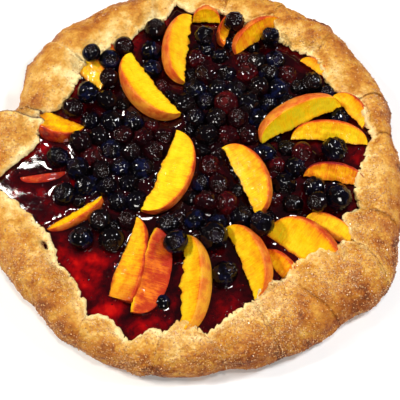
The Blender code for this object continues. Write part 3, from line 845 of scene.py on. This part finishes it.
sheet[:, 2] = juice_top + ripple + lumps * lumpy + cling - SURFACE_DROP
# Painted light: the juice is painted darker within a few mm of the fruit, as shade, and brighter
# in thin patches and round the glows, as light shining through it.
unshaded_share = unit((to_fruit - 0.5) / 8.0)
thin_and_glow_share = unit(0.15 + 0.8 * noise_over(sheet, 14.0, "fractal", 15.0))
uneven = 0.75 + 0.6 * noise_over(sheet, 9.0, "fractal", 17.0)
for glow_bearing, out_share, reach, strength in GLOWS:
    away = distance_from(glow_bearing, out_share)
    thin_and_glow_share = np.maximum(thin_and_glow_share, unit(strength * np.exp(-(away / reach) ** 2) * uneven))
move_points(juice, sheet * MM)
keep_colour(juice, "jelly", unshaded_share, thin_and_glow_share, unit(1.0 - to_wall / 16.0))

# Its side goes down the pastry's wall to the sheet of dough, and its underside is closed.
edit_mode()
bpy.ops.mesh.select_all(action="DESELECT")
bpy.ops.mesh.select_non_manifold()
bpy.ops.mesh.extrude_region_move(TRANSFORM_OT_translate={"value": (0.0, 0.0, -SIDE_DEPTH * MM)})
bpy.ops.transform.resize(value=(1.0, 1.0, 0.0), center_override=(0.0, 0.0, FOOT_HEIGHT * MM))
bpy.ops.mesh.fill_holes(sides=0)
face_outwards()

jelly, tree, shader = principled("red jelly", roughness=0.05, specular_ior_level=0.5,
                                 coat_weight=0.3, coat_roughness=0.02)
place = object_place(tree)
unshaded_mask, thin_and_glow_mask, near_wall = attribute(tree, "jelly")
streaks = patch_mask(tree, place, 85.0, 0.35, 0.70)
flecks = patch_mask(tree, place, 330.0, 0.45, 0.75)
# Painted light: brighter where thin and at the glows, as light shining through the jelly, and
# darker near the fruit, as painted shade.
brightness = times(tree, thin_and_glow_mask, times_plus(tree, unshaded_mask, 0.9, 0.1))
brightness = times_plus(tree, near_wall, 0.10, brightness)
brightness = times_plus(tree, streaks, 0.22, brightness)
brightness = times_plus(tree, flecks, -0.14, brightness)
deep = ramp(tree, less(tree, brightness, 0.04, clamp=True),
            ((0.0, (26, 0, 3)), (0.25, (62, 0, 4)), (0.5, (108, 0, 4)), (0.8, (150, 3, 5)),
             (1.0, (178, 14, 8))))
feed(tree, shader, base_color=deep, roughness=times_plus(tree, flecks, 0.05, 0.02),
     normal=grain_normal(tree, place, 160.0, 0.0, 0.03))
finish_piece(juice, "set_juice", jelly, ["filling"])

# ------------------------------------------------------------------ peach slices
# Half-moon wedges of ripe yellow peach, baked in the juice. Each has two flat cut faces, the
# skin along its outer curve, and a ragged, stained hollow along the edge where the stone was.

AROUND = (20, 11, 20, 5)  # points of a slice's section: cut face, skin, cut face, stone edge
ALONG = 60                # sections from tip to tip
AXIS_SETBACK = 8.0        # mm from the stone edge to the axis round which the slice was cut
SKIN_FULLNESS = 0.85
SLICE_SEED = Vector((17.3, 4.4, 8.8))

# How each slice looks: ripeness of its flesh (0 lemon, 1 deep orange), redness of its skin, how
# far the juice has stained it, in mm above its level, raggedness of its stone edge, how wet it
# is, and how much fuller its front end is than its back end.
SLICE_LOOKS = {
    "peach_01": (0.18, 0.45, 0.5, 0.6, 0.0, 0.0), "peach_02": (0.16, 0.42, 0.6, 1.8, 0.0, 0.0),
    "peach_03": (0.12, 0.36, 0.4, 1.5, 0.0, 0.0), "peach_04": (0.20, 0.30, 0.6, 0.6, 0.2, 0.2),
    "peach_05": (0.30, 0.80, 0.4, 0.6, 0.7, 0.0), "peach_06": (1.15, 0.85, 0.6, 0.5, 0.8, 0.0),
    "peach_07": (0.22, 0.50, 0.6, 0.9, 0.2, 0.0), "peach_08": (0.12, 0.55, 0.5, 1.1, 0.0, 0.0),
    "peach_09": (0.18, 0.45, 0.5, 1.2, 0.0, 0.0), "peach_10": (0.34, 0.60, 0.4, 0.6, 0.0, 0.30),
    "peach_11": (0.80, 0.80, 0.8, 0.3, 0.05, 0.08), "peach_12": (0.14, 0.10, 0.6, 2.6, 0.0, 0.0),
    "peach_13": (0.22, 0.40, 0.8, 1.2, 0.0, 0.0), "peach_14": (0.42, 0.60, 1.0, 0.7, 0.1, 0.0),
    "peach_15": (0.16, 0.50, 0.5, 0.7, 0.0, -0.16), "peach_16": (0.22, 0.80, 0.5, 0.7, 0.0, 0.0),
    "peach_17": (0.00, 0.34, 0.2, 1.5, 0.0, 0.0), "peach_18": (0.16, 0.62, 0.4, 0.7, 0.0, 0.0),
    "peach_19": (0.30, 0.70, 0.5, 0.7, 0.1, 0.0), "peach_20": (0.46, 0.90, 0.8, 0.7, 0.1, 0.0),
    "peach_21": (0.30, 0.60, 0.6, 0.7, 0.1, 0.0), "peach_22": (0.46, 0.60, 0.8, 0.7, 0.1, 0.0),
    "peach_23": (0.40, 0.50, 0.3, 0.9, 0.0, 0.0), "peach_24": (0.55, 0.70, 1.0, 0.6, 0.3, 0.0),
}

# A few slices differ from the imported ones, so that they lie against what they touch: the stone
# edge swells out and is paler, the whole slice is longer or deeper, its front end is blunt, or it
# has drawn up juice at one end.
STONE_REACH = {"peach_11": 3.6, "peach_16": 5.0}  # mm
LONGER = {"peach_04": 1.15, "peach_11": 1.12}
DEEPER = {"peach_04": 1.25, "peach_10": 1.26, "peach_11": 1.20}
BLUNT_END = {"peach_10": 0.85}
DRAWN_UP = {"peach_11": 0.75, "peach_10": -0.6}  # behind, or in front where below 0


def slice_setting(cad):
    """A packed slice's origin and axes, and its length, depth and half angle."""
    corners = np.unique(np.round(points_of(cad), 6), axis=0) / MM
    lengthwise = np.linalg.svd(corners - corners.mean(axis=0))[2][0]
    order = np.argsort(corners @ lengthwise)
    near, far = corners[order[:3]], corners[order[-3:]]
    along = far.mean(axis=0) - near.mean(axis=0)
    length = np.linalg.norm(along)
    along /= length
    spans = [(np.linalg.norm(a - b), tuple(a - b)) for a in near for b in near]
    across = np.array(max(spans)[1])
    across -= along * (across @ along)
    across /= np.linalg.norm(across)
    out = np.cross(across, along)
    origin = 0.5 * (near.mean(axis=0) + far.mean(axis=0))
    if (corners.mean(axis=0) - origin) @ out < 0.0:
        out, across = -out, -across
    if across[2] < 0.0:
        along, across = -along, -across
    local = (corners - origin) @ np.stack([along, out, across], axis=1)
    depth = local[:, 1].max()
    half_angle = math.atan2(np.abs(local[:, 2]).max(), depth + AXIS_SETBACK)
    return origin, np.stack([along, out, across]), length, depth, half_angle


def noise_line(values, size, seed):
    """Noise along a run of values in mm."""
    return np.array([noise.fractal(Vector((value / size, seed, 0.3)) + SLICE_SEED, 0.7, 2.0, 3)
                     for value in values])


def section_table():
    """For each step round a slice's section: its part, and its share of that part."""
    table = []
    for part, count in enumerate(AROUND):
        first = 0.5 if part in (1, 3) else 0.0
        table += [(part, (step + first) / count) for step in range(count)]
    return table


def slice_points(sphere, length, depth, half_angle, ragged_edge, fuller, stone_reach, blunt, seed):
    """Move a sphere's points, poles at its two tips, onto the surface of a slice (mm)."""
    table = section_table()
    around = len(table)
    turn = np.arctan2(sphere[:, 1], sphere[:, 0]) % (2.0 * math.pi)
    step = np.rint(turn / (2.0 * math.pi) * around).astype(int) % around
    share = np.arccos(np.clip(sphere[:, 2], -1.0, 1.0)) / math.pi
    part = np.array([row[0] for row in table])[step]
    spot = np.array([row[1] for row in table])[step]
    lengthwise = np.cos(math.pi * share)
    x = 0.5 * length * lengthwise
    arch = np.sin(math.pi * share).clip(0.0, 1.0)
    fullness = SKIN_FULLNESS * np.where(fuller * lengthwise > 0.0, 1.0 - blunt, 1.0)
    skin_at = depth * arch ** fullness * (1.0 + fuller * lengthwise)
    lines = [noise_line(x, 4.2, seed + 0.37 * side) for side in (0, 1)]
    wave = noise_line(x, 15.0, seed + 5.0)
    level = (0.07 * depth - stone_reach) * arch
    stone = [level + ragged_edge * (1.1 * line + 0.8 * wave) * arch ** 0.4 for line in lines]
    kinds = [part == 0, part == 1, part == 2]
    across = np.select(kinds, [spot, 1.0, 1.0 - spot], 0.0)
    side = np.select(kinds, [1.0, 1.0 - 2.0 * spot, -1.0], 2.0 * spot - 1.0)
    edge = np.where(side > 0.0, stone[0], stone[1])
    bulge = np.where(part == 1, 0.03 * depth * (1.0 - side ** 2), 0.0)
    hollow = np.where(part == 3, -0.9 * (1.0 - side ** 2) * arch, 0.0)
    reach = edge + across * (skin_at - edge) + bulge * arch - hollow
    reach = reach - np.where(part == 1, np.abs(side) ** 6 * 0.35, 0.0) * arch
    angle = half_angle * side
    radius = reach + AXIS_SETBACK
    y = radius * np.cos(angle) - AXIS_SETBACK
    z = radius * np.sin(angle)
    face = np.where((part == 0) | (part == 2), np.sin(math.pi * across) * arch, 0.0)
    swell = np.array([
        noise.fractal(Vector((a / 9.0, b / 9.0, c / 9.0 + seed)) + SLICE_SEED, 0.7, 2.0, 3)
        for a, b, c in zip(x, y, z)])
    pitted = np.array([noise.noise(Vector((a / 3.2, b / 2.2, c / 9.0 + seed)) + SLICE_SEED)
                       for a, b, c in zip(x, y, z)])
    z = z - np.sign(side) * (face * (0.5 - 0.55 * swell) - np.sqrt(face) * 0.32 * pitted)
    y = y + 0.25 * swell * (part == 1)
    sag = 0.9 * wave * (x / length) ** 2 * 4.0
    return np.stack([x, y, z + sag], axis=1), part, across, side


flesh, tree, shader = principled("baked peach", roughness=0.4, specular_ior_level=0.16,
                                 subsurface_weight=0.12, subsurface_scale=0.004,
                                 coat_weight=0.03, coat_roughness=0.06)
shader.inputs["Subsurface Radius"].default_value = (1.0, 0.45, 0.12)
place = object_place(tree)
skin_mask, stone_mask, ripe = attribute(tree, "slice")
redness, soaked, wetness = attribute(tree, "slice_skin")
fibre_place = node(tree, "ShaderNodeAttribute", attribute_name="fibres").outputs["Vector"]
fibres = patch_mask(tree, fibre_place, 1.0, 0.30, 0.70)
cloud = patch_mask(tree, place, 120.0, 0.30, 0.70)
speck = patch_mask(tree, place, 650.0, 0.55, 0.72)
ripeness = times_plus(tree, cloud, 0.34, ripe)
ripeness = times_plus(tree, fibres, 0.24, ripeness)
ripeness = less(tree, ripeness, 0.22, clamp=True)
body = ramp(tree, ripeness, ((0.0, (236, 208, 26)), (0.15, (252, 206, 10)), (0.4, (248, 176, 4)),
                             (0.7, (232, 120, 6)), (1.0, (180, 48, 6))))
stain = times(tree, stone_mask, times_plus(tree, fibres, 0.6, 0.30))
body = blend_colour(tree, stain, body, (170, 66, 16))
body = blend_colour(tree, times(tree, wetness, times(tree, cloud, 0.5)), body, (176, 74, 22))
blush = times_plus(tree, cloud, 0.5, less(tree, redness, 0.25), clamp=True)
peel = ramp(tree, blush, ((0.0, (240, 166, 42)), (0.25, (226, 128, 42)), (0.5, (210, 90, 28)),
                          (0.75, (184, 46, 18)), (1.0, (126, 24, 30))))
peel = blend_colour(tree, times(tree, speck, 0.22), peel, (244, 176, 84))
body = blend_colour(tree, skin_mask, body, peel)
body = blend_colour(tree, soaked, body, (168, 26, 12))
gloss = calculate(tree, "MAXIMUM", soaked, wetness)
satin = times_plus(tree, cloud, 0.16, 0.42)
feed(tree, shader, base_color=body, normal=grain_normal(tree, fibre_place, 1.4, 0.15, 0.65),
     roughness=times_plus(tree, gloss, -0.30, satin, clamp=True),
     coat_weight=times_plus(tree, gloss, 0.65, 0.03))

for number, (name, looks) in enumerate(SLICE_LOOKS.items()):
    ripe_share, red_share, soak_height, ragged_edge, wet_share, fuller = looks
    origin, axes, length, depth, half_angle = slice_setting(nodes[name])
    length *= LONGER.get(name, 1.0)
    depth *= DEEPER.get(name, 1.0)
    if axes[0][1] > 0.0:
        fuller = -fuller
    wedge = new_sphere(sum(AROUND), ALONG)
    local, part, across, side = slice_points(points_of(wedge), length, depth, half_angle,
                                             ragged_edge, fuller, STONE_REACH.get(name, 0.0),
                                             BLUNT_END.get(name, 0.0), 1.7 * number)
    placed = origin + local @ axes
    move_points(wedge, placed * MM)
    on_skin = np.where(part == 1, 1.0, unit((across - 0.965) / 0.035) * 0.6)
    at_stone = np.where(part == 3, 1.0, unit(1.0 - across * depth / 2.6) ** 1.5)
    under_skin = unit((across - 0.92) / 0.08) * (part != 1)
    flesh_tone = ripe_share + 0.30 * across ** 5 + 0.50 * under_skin
    if name in STONE_REACH:
        at_stone = 0.0 * at_stone
        flesh_tone = flesh_tone - 0.7 * ripe_share * np.exp(-across * depth / 1.4)
    keep_colour(wedge, "slice", on_skin * (part < 3), at_stone * (1.0 - 0.6 * (part == 1)),
                flesh_tone)
    wet_line = placed[:, 2] - juice_top - soak_height - 0.8 * noise_over(placed, 5.0, shift=21.0)
    behind = local[:, 0] / length * (1.0 if axes[0][1] > 0.0 else -1.0)
    red_share = unit(red_share + 0.15 * behind)
    drawn = unit(DRAWN_UP.get(name, 0.0) * (2.6 * behind + 0.15)) * (0.25 + 0.75 * across)
    soaked_share = np.maximum(unit(0.5 - wet_line / 1.6), drawn)
    keep_colour(wedge, "slice_skin", red_share, soaked_share, wet_share)
    along_fibres = wedge.data.attributes.new("fibres", "FLOAT_VECTOR", "POINT")
    fibre_grid = np.stack(
        [local[:, 0] / 0.9, (local[:, 1] + 3.0 * number) / 9.0, side * 2.0], axis=1)
    along_fibres.data.foreach_set("vector", fibre_grid.astype(np.float32).ravel())
    make_active(wedge)
    edit_mode()
    face_outwards()
    finish_piece(wedge, name.replace("peach", "peach_slice"), flesh, [name], smooth=50.0)

# ------------------------------------------------------------------ blueberries
# Baked blueberries, each with the five-lobed crown that its flower left. The heat has wrinkled
# their skins, and the syrup has left them nearly black, with blue or wine-red where it is thin.

BERRY_SIDES = 34
BERRY_RINGS = 21
BERRY_SEED = 41
FULLER_BERRIES = 1.12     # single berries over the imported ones, before they wrinkle
CROWN_FROM = 0.86         # the crown's rim, as a share of the radius above the middle

pattern = new_sphere(BERRY_SIDES, BERRY_RINGS)
edit_mode()
bpy.ops.mesh.select_all(action="DESELECT")
bpy.ops.mesh.select_mode(type="FACE")
object_mode()
for face in pattern.data.polygons:
    face.select = face.center.z > CROWN_FROM
edit_mode()
bpy.ops.mesh.inset(thickness=0.03, depth=0.0)
bpy.ops.mesh.inset(thickness=0.05, depth=0.09)
bpy.ops.mesh.inset(thickness=0.07, depth=-0.20)
bpy.ops.transform.resize(value=(1.0, 1.0, 0.35), center_override=(0.0, 0.0, 0.80))
bpy.ops.mesh.select_all(action="DESELECT")
object_mode()
pattern_points = points_of(pattern)
crown_turn = np.arctan2(pattern_points[:, 1], pattern_points[:, 0])
crown_width = np.hypot(pattern_points[:, 0], pattern_points[:, 1])
crown_rim = np.exp(-((crown_width - 0.40) / 0.08) ** 2) * (pattern_points[:, 2] > 0.8)
pattern_points[:, 2] += 0.07 * np.cos(5.0 * crown_turn) * crown_rim
pattern_points[:, :2] *= (1.0 + 0.08 * np.cos(5.0 * crown_turn) * crown_rim)[:, None]
move_points(pattern, pattern_points)
crown_hollow = np.exp(-(crown_width / 0.34) ** 2) * (pattern_points[:, 2] > 0.5)
crown_share = np.maximum(crown_rim, 0.7 * crown_hollow)


def random_turn(rng, lean):
    """A turn that leans a berry's crown away from straight up by about this many degrees."""
    tilt = math.radians(abs(rng.gauss(lean, 26.0)))
    return (Matrix.Rotation(rng.uniform(0.0, 2.0 * math.pi), 3, "Z")
            @ Matrix.Rotation(tilt, 3, "X")
            @ Matrix.Rotation(rng.uniform(0.0, 2.0 * math.pi), 3, "Z"))


def berry_shape(rng, radius):
    """Points of one baked berry about its middle (mm), and how deep each lies in a wrinkle."""
    shrivel = rng.choice((0.3, 0.8, 1.2, 1.2, 1.7))
    shift = Vector([rng.uniform(0.0, 90.0) for _ in range(3)])
    stretch = Vector((rng.uniform(0.92, 1.08), rng.uniform(0.92, 1.08), rng.uniform(0.82, 0.98)))
    turned = np.array(random_turn(rng, 40.0))
    moved = np.empty_like(pattern_points)
    wrinkle = np.empty(len(pattern_points))
    for index, point in enumerate(pattern_points):
        spot = Vector(point)
        crease = abs(noise.noise(spot * 2.6 + shift))
        crimp = abs(noise.noise(spot * 6.5 + shift))
        dent = noise.noise(spot * 1.2 - shift)
        deep = shrivel * (0.085 * max(0.0, 0.32 - crease) / 0.32
                          + 0.045 * max(0.0, 0.3 - crimp) / 0.3)
        moved[index] = spot * (1.0 + 0.07 * dent - deep)
        wrinkle[index] = deep
    moved = moved * np.array(stretch) @ turned.T
    return moved * radius, unit(wrinkle / 0.12)


def add_berries(name, balls, rng, replaced):
    """One piece of blueberries: each is a copy of the pattern with a mesh of its own."""
    copies = []
    for middle, radius, tint in balls:
        berry = pattern.copy()
        berry.data = pattern.data.copy()
        bpy.context.scene.collection.objects.link(berry)
        moved, wrinkle = berry_shape(rng, radius)
        move_points(berry, (moved + np.array(middle)) * MM)
        keep_colour(berry, "berry", tint, wrinkle, crown_share)
        copies.append(berry)
    deselect_all()
    for berry in copies:
        berry.select_set(True)
    bpy.context.view_layer.objects.active = copies[0]
    if len(copies) > 1:
        bpy.ops.object.join()
    finish_piece(copies[0], name, berry_skin, replaced)


berry_skin, tree, shader = principled("syrupy blueberry", roughness=0.25, specular_ior_level=0.02,
                                      coat_weight=0.9, coat_roughness=0.05, coat_ior=1.33)
place = object_place(tree)
tint_share, wrinkle_shade_mask, crown_mask = attribute(tree, "berry")
bloom = patch_mask(tree, place, 150.0, 0.46, 0.64)
spotty = patch_mask(tree, place, 620.0, 0.40, 0.70)
tone = times_plus(tree, bloom, 0.22, tint_share)
skin_colour = ramp(tree, tone, ((0.0, (4, 3, 5)), (0.35, (9, 5, 7)), (0.6, (28, 3, 6)),
                                (0.8, (52, 4, 8)), (1.0, (88, 9, 13))))
blue_share = times_plus(tree, tint_share, -6.0, 1.2, clamp=True)
blue = times(tree, times(tree, bloom, blue_share), 0.34)
skin_colour = blend_colour(tree, blue, skin_colour, (22, 34, 84))
# Painted shade: the skin is painted darker down in its wrinkles.
skin_colour = blend_colour(tree, times(tree, wrinkle_shade_mask, 0.6), skin_colour, (6, 2, 5))
skin_colour = blend_colour(tree, times(tree, crown_mask, 0.30), skin_colour, (62, 44, 40))
feed(tree, shader, base_color=skin_colour, roughness=times_plus(tree, spotty, 0.25, 0.20),
     normal=grain_normal(tree, place, 430.0, 0.5, 0.14))

rng = random.Random(BERRY_SEED)
singles = []
for cad in berry_cads:
    low, high = (np.array(corner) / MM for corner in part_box(cad.name))
    middle = 0.5 * (low + high)
    radius = 0.5 * (high[0] - low[0])
    tint = rng.choice((0.02, 0.08, 0.15, 0.25, 0.45))
    add_berries(cad.name.replace("berry", "blueberry"), [(middle, radius * FULLER_BERRIES, tint)],
                rng, [cad.name])
    singles.append((middle, radius))

# The heap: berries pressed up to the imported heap's surface, and smaller ones down in the gaps.
HEAP_PITCH = 14.4         # between the middles of neighbouring berries, in mm
ROW_PITCH = 0.87          # between two rows, over the pitch in a row
HEAP_UNEVEN = 2.2         # how far a berry may lie off the even pattern
HEAP_TRIES = 14
HEAP_CLEAR = 2.5          # mm above the juice from which on it counts as heap
FADE_BEARINGS = (26.0, 76.0)  # where the heap goes on up to the pastry, half sunk
FADE_REACH = 30.0         # mm
FADE_MARGIN = 3.5         # mm from the pastry
FADE_HEIGHT = 8.0         # mm above the juice
SLICE_ROOM = 0.84         # least distance from a berry's middle to a slice, over its radius
CORE_HEIGHT = 0.22        # of the heap's height above the juice
CORE_SINK = 0.6           # mm

# Its layers. For each: smallest and largest radius in mm, how far a berry lies under the packed
# surface, least distance of two berries over their radii together, tints, and the shifts of the
# even pattern, which is gone over once for each of them.
HEAP_LAYERS = (
    ((7.8, 9.3), ((-0.4, 1.6), (0.0, 2.0)), 0.80,
     (0.02, 0.08, 0.15, 0.25, 0.35, 0.55, 0.75), (0.0, 0.5)),
    ((6.6, 7.8), ((3.0, 5.5), (3.0, 5.5)), 0.72, (0.08, 0.25, 0.45, 0.75), (0.25, 0.75)),
    ((5.6, 6.8), ((2.0, 5.0), (2.0, 5.0)), 0.74, (0.15, 0.25, 0.65), (0.4, 0.9)),
)

deselect_all()
core = nodes["berry_heap"].copy()
core.data = nodes["berry_heap"].data.copy()
core.hide_render = False
for key in list(core.keys()):
    del core[key]
core.parent = None
bpy.context.scene.collection.objects.link(core)
make_active(core)
edit_mode()
bpy.ops.mesh.select_all(action="SELECT")
bpy.ops.mesh.remove_doubles(threshold=0.01 * MM)
object_mode()
mound = points_of(core) / MM
mound_tree = tree_of(core)
heap = []


def has_room(middle, radius, spacing):
    """True if a berry there is clear of the heap's others, the single ones and the slices."""
    for other, size in singles + [ball[:2] for ball in heap]:
        if np.linalg.norm(middle - other) < spacing * (radius + size):
            return False
    spot, facing, _, distance = peach_tree.find_nearest(Vector(middle) * MM)
    outside = (Vector(middle) * MM - spot).dot(facing) > 0.0
    return outside and distance / MM > SLICE_ROOM * radius


def top_of_heap(spot):
    """Height of the heap there in mm, where it rises clear of the juice or fades out."""
    hit = mound_tree.ray_cast(spot * MM, DOWN)[0]
    if hit is not None and hit.z / MM > juice_top + HEAP_CLEAR:
        return hit.z / MM
    level = Vector((spot.x, spot.y, juice_top))
    fades = FADE_BEARINGS[0] < math.degrees(math.atan2(spot.y, spot.x)) < FADE_BEARINGS[1]
    if fades and spot.xy.length < wall_at(np.array([level]))[0] - FADE_MARGIN:
        if mound_tree.find_nearest(level * MM)[3] / MM < FADE_REACH:
            return juice_top + FADE_HEIGHT
    return None


def settle_berry(x, y, radii, sink, spacing, tints):
    """Put a berry in the heap near x, y, trying a few places and sizes round there."""
    for attempt in range(HEAP_TRIES):
        reach = HEAP_UNEVEN * (0.4 + 0.12 * attempt)
        spot = Vector((x + rng.uniform(-reach, reach), y + rng.uniform(-reach, reach), SKY))
        top = top_of_heap(spot)
        radius = rng.uniform(*radii) - 0.06 * attempt
        if top is None:
            continue
        height = top - radius - rng.uniform(*sink)
        middle = np.array((spot.x, spot.y, max(height, juice_top - 1.0)))
        if has_room(middle, radius, spacing):
            heap.append((middle, radius, rng.choice(tints)))
            return


low_side, high_side = mound.min(axis=0), mound.max(axis=0)
rows_of_berries = int((high_side[1] - low_side[1]) / (HEAP_PITCH * ROW_PITCH)) + 1
berries_in_row = int((high_side[0] - low_side[0]) / HEAP_PITCH) + 1
for radii, sinks, spacing, tints, shifts in HEAP_LAYERS:
    for sink, shift in zip(sinks, shifts):
        for row in range(rows_of_berries):
            for place_in_row in range(berries_in_row):
                x = low_side[0] + HEAP_PITCH * (place_in_row + shift + 0.5 * (row % 2))
                y = low_side[1] + HEAP_PITCH * ROW_PITCH * (row + shift)
                settle_berry(x, y, radii, sink, spacing, tints)

for part_number, letter in enumerate("abc"):
    add_berries("heap_berries_" + letter, heap[part_number::3], rng,
                ["berry_heap"] if letter == "a" else [])
bpy.data.objects.remove(pattern)

# What shows between them is the thick syrup of the heap's core, painted in the jelly's darkest
# reds as shade between the berries.
make_active(core)
above_juice = np.maximum(mound[:, 2] - juice_top, 0.0)
mound[:, 2] -= (1.0 - CORE_HEIGHT) * above_juice + CORE_SINK
move_points(core, mound * MM)
subdivide = core.modifiers.new("finer", "SUBSURF")
subdivide.levels = 2
subdivide.render_levels = 2
bpy.ops.object.modifier_apply(modifier=subdivide.name)
core_points = points_of(core) / MM
keep_colour(core, "jelly", 0.0, np.clip(noise_over(core_points, 12.0, shift=31.0), 0.0, 0.3), 0.0)
finish_piece(core, "heap_syrup", jelly)

# ------------------------------------------------------------------ bubbles
# Small bubbles that rose as the juice boiled and set in its skin, mostly where it meets the fruit
# and the pastry. Each is a thin dome of the same jelly.

BUBBLES = 420
BUBBLE_SIZES = (0.30, 0.95)   # radius in mm
BUBBLE_SIDES, BUBBLE_RINGS = 12, 8
BUBBLE_CLUSTER = 0.55     # share of them that lie in clusters
foam = np.random.default_rng(58)

juice_points = points_of(juice) / MM
juice_points = juice_points[juice_points[:, 2] > juice_top - 1.5]
to_rim = wall_at(juice_points) - np.hypot(juice_points[:, 0], juice_points[:, 1])
free = clear_of_fruit(juice_points)
liked = (free > 1.2) * (to_rim > 1.5) * np.exp(-np.minimum(free, to_rim) / 4.0)
clumps = unit(noise_over(juice_points, 14.0, shift=51.0) * 3.0)
liked *= (1.0 - BUBBLE_CLUSTER) * 0.3 + BUBBLE_CLUSTER * clumps
chosen = foam.choice(len(juice_points), size=BUBBLES, p=liked / liked.sum())
bubble_sizes = BUBBLE_SIZES[0] + np.ptp(BUBBLE_SIZES) * foam.random(BUBBLES) ** 3
bubble_spots = juice_points[chosen] + foam.uniform(-0.5, 0.5, (BUBBLES, 3)) * (1.0, 1.0, 0.2)

bubbles = new_sphere(BUBBLE_SIDES, BUBBLE_RINGS)
dome = points_of(bubbles)
repeat_mesh(bubbles, BUBBLES)
domes = dome[None, :, :] * foam.uniform(0.85, 1.15, (BUBBLES, 1, 3)) * (1.0, 1.0, 0.8)
domes = domes * bubble_sizes[:, None, None] + bubble_spots[:, None, :]
move_points(bubbles, domes.reshape(-1, 3) * MM)
# Painted light: the bubbles get half the juice's painted shade and a random share of its painted
# glow.
keep_colour(bubbles, "jelly", 0.5, np.repeat(foam.random(BUBBLES), len(dome)), 0.0)
finish_piece(bubbles, "juice_bubbles", jelly)

# ------------------------------------------------------------------ coarse sugar
# Coarse sugar, strewn over the raw border and baked on. Each crystal is an uneven little block,
# clear white to caramel, half sunk in the dough. It lies in drifts, and thickest at the front.

CRYSTALS = 8000
CRYSTAL_SIZES = (0.36, 0.85)  # mm
SUGAR_ROWS = (1.0, 7.6)   # the part of the border's section on which it lies
MIDDLE_ABOVE = 0.10       # a crystal's middle above the dough, over its size
strewn = np.random.default_rng(77)

border_normals = grid_normals(points)
on_top = (row_place > SUGAR_ROWS[0]) & (row_place < SUGAR_ROWS[1])
spread_of_sugar = (0.10 * front_share[:, None] + frost ** 1.6) * on_top[None, :]
spread_of_sugar *= np.linalg.norm(np.gradient(points, axis=1), axis=2)
chances = (spread_of_sugar / spread_of_sugar.sum()).ravel()
picks = strewn.choice(len(chances), size=CRYSTALS, p=chances)
pick_column, pick_row = picks // row_count, picks % row_count
picked = points[pick_column, pick_row]
step_row = points[pick_column, np.minimum(pick_row + 1, row_count - 1)] - picked
step_column = points[(pick_column + 1) % column_count, pick_row] - picked
step_column *= (np.linalg.norm(step_column, axis=1, keepdims=True) < 3.0)
sugar_spots = (picked + strewn.random((CRYSTALS, 1)) * step_row
               + strewn.random((CRYSTALS, 1)) * step_column)
sugar_sizes = strewn.uniform(*CRYSTAL_SIZES, CRYSTALS)
sugar_spots += border_normals[pick_column, pick_row] * (MIDDLE_ABOVE * sugar_sizes)[:, None]

deselect_all()
bpy.ops.mesh.primitive_cube_add(size=1.0)
sugar = bpy.context.object
repeat_mesh(sugar, CRYSTALS)
corners = points_of(sugar)[:8]
blocks = corners[None, :, :] * strewn.uniform(0.65, 1.15, (CRYSTALS, 1, 3))
blocks += strewn.uniform(-0.10, 0.10, blocks.shape)
turns = np.linalg.qr(strewn.normal(size=(CRYSTALS, 3, 3)))[0]
turns *= np.sign(np.linalg.det(turns))[:, None, None]
blocks = np.einsum("nvk,nkj->nvj", blocks, turns) * sugar_sizes[:, None, None]
blocks += sugar_spots[:, None, :]
blocks = np.clip(blocks, low_corner + 0.02, high_corner - 0.02)
move_points(sugar, blocks.reshape(-1, 3) * MM)
# The crystals take the pastry's browning, with its painted side shade.
browning = toast_and_shade[pick_column, pick_row] * 0.5 + strewn.random(CRYSTALS) * 0.5
keep_colour(sugar, "sugar", np.repeat(browning, len(corners)), 0.0, 0.0)

crystal, tree, shader = principled("baked sugar", roughness=0.26, specular_ior_level=0.5)
browned, _, _ = attribute(tree, "sugar")
cloudy = patch_mask(tree, object_place(tree), 900.0, 0.35, 0.65)
clear = ramp(tree, browned, ((0.0, (232, 194, 142)), (0.4, (208, 156, 96)), (0.7, (174, 112, 58)),
                             (1.0, (128, 68, 30))))
feed(tree, shader,
     base_color=blend_colour(tree, times(tree, cloudy, 0.3), clear, (236, 204, 160)))
finish_piece(sugar, "sugar_crystals", crystal, smooth=20.0)
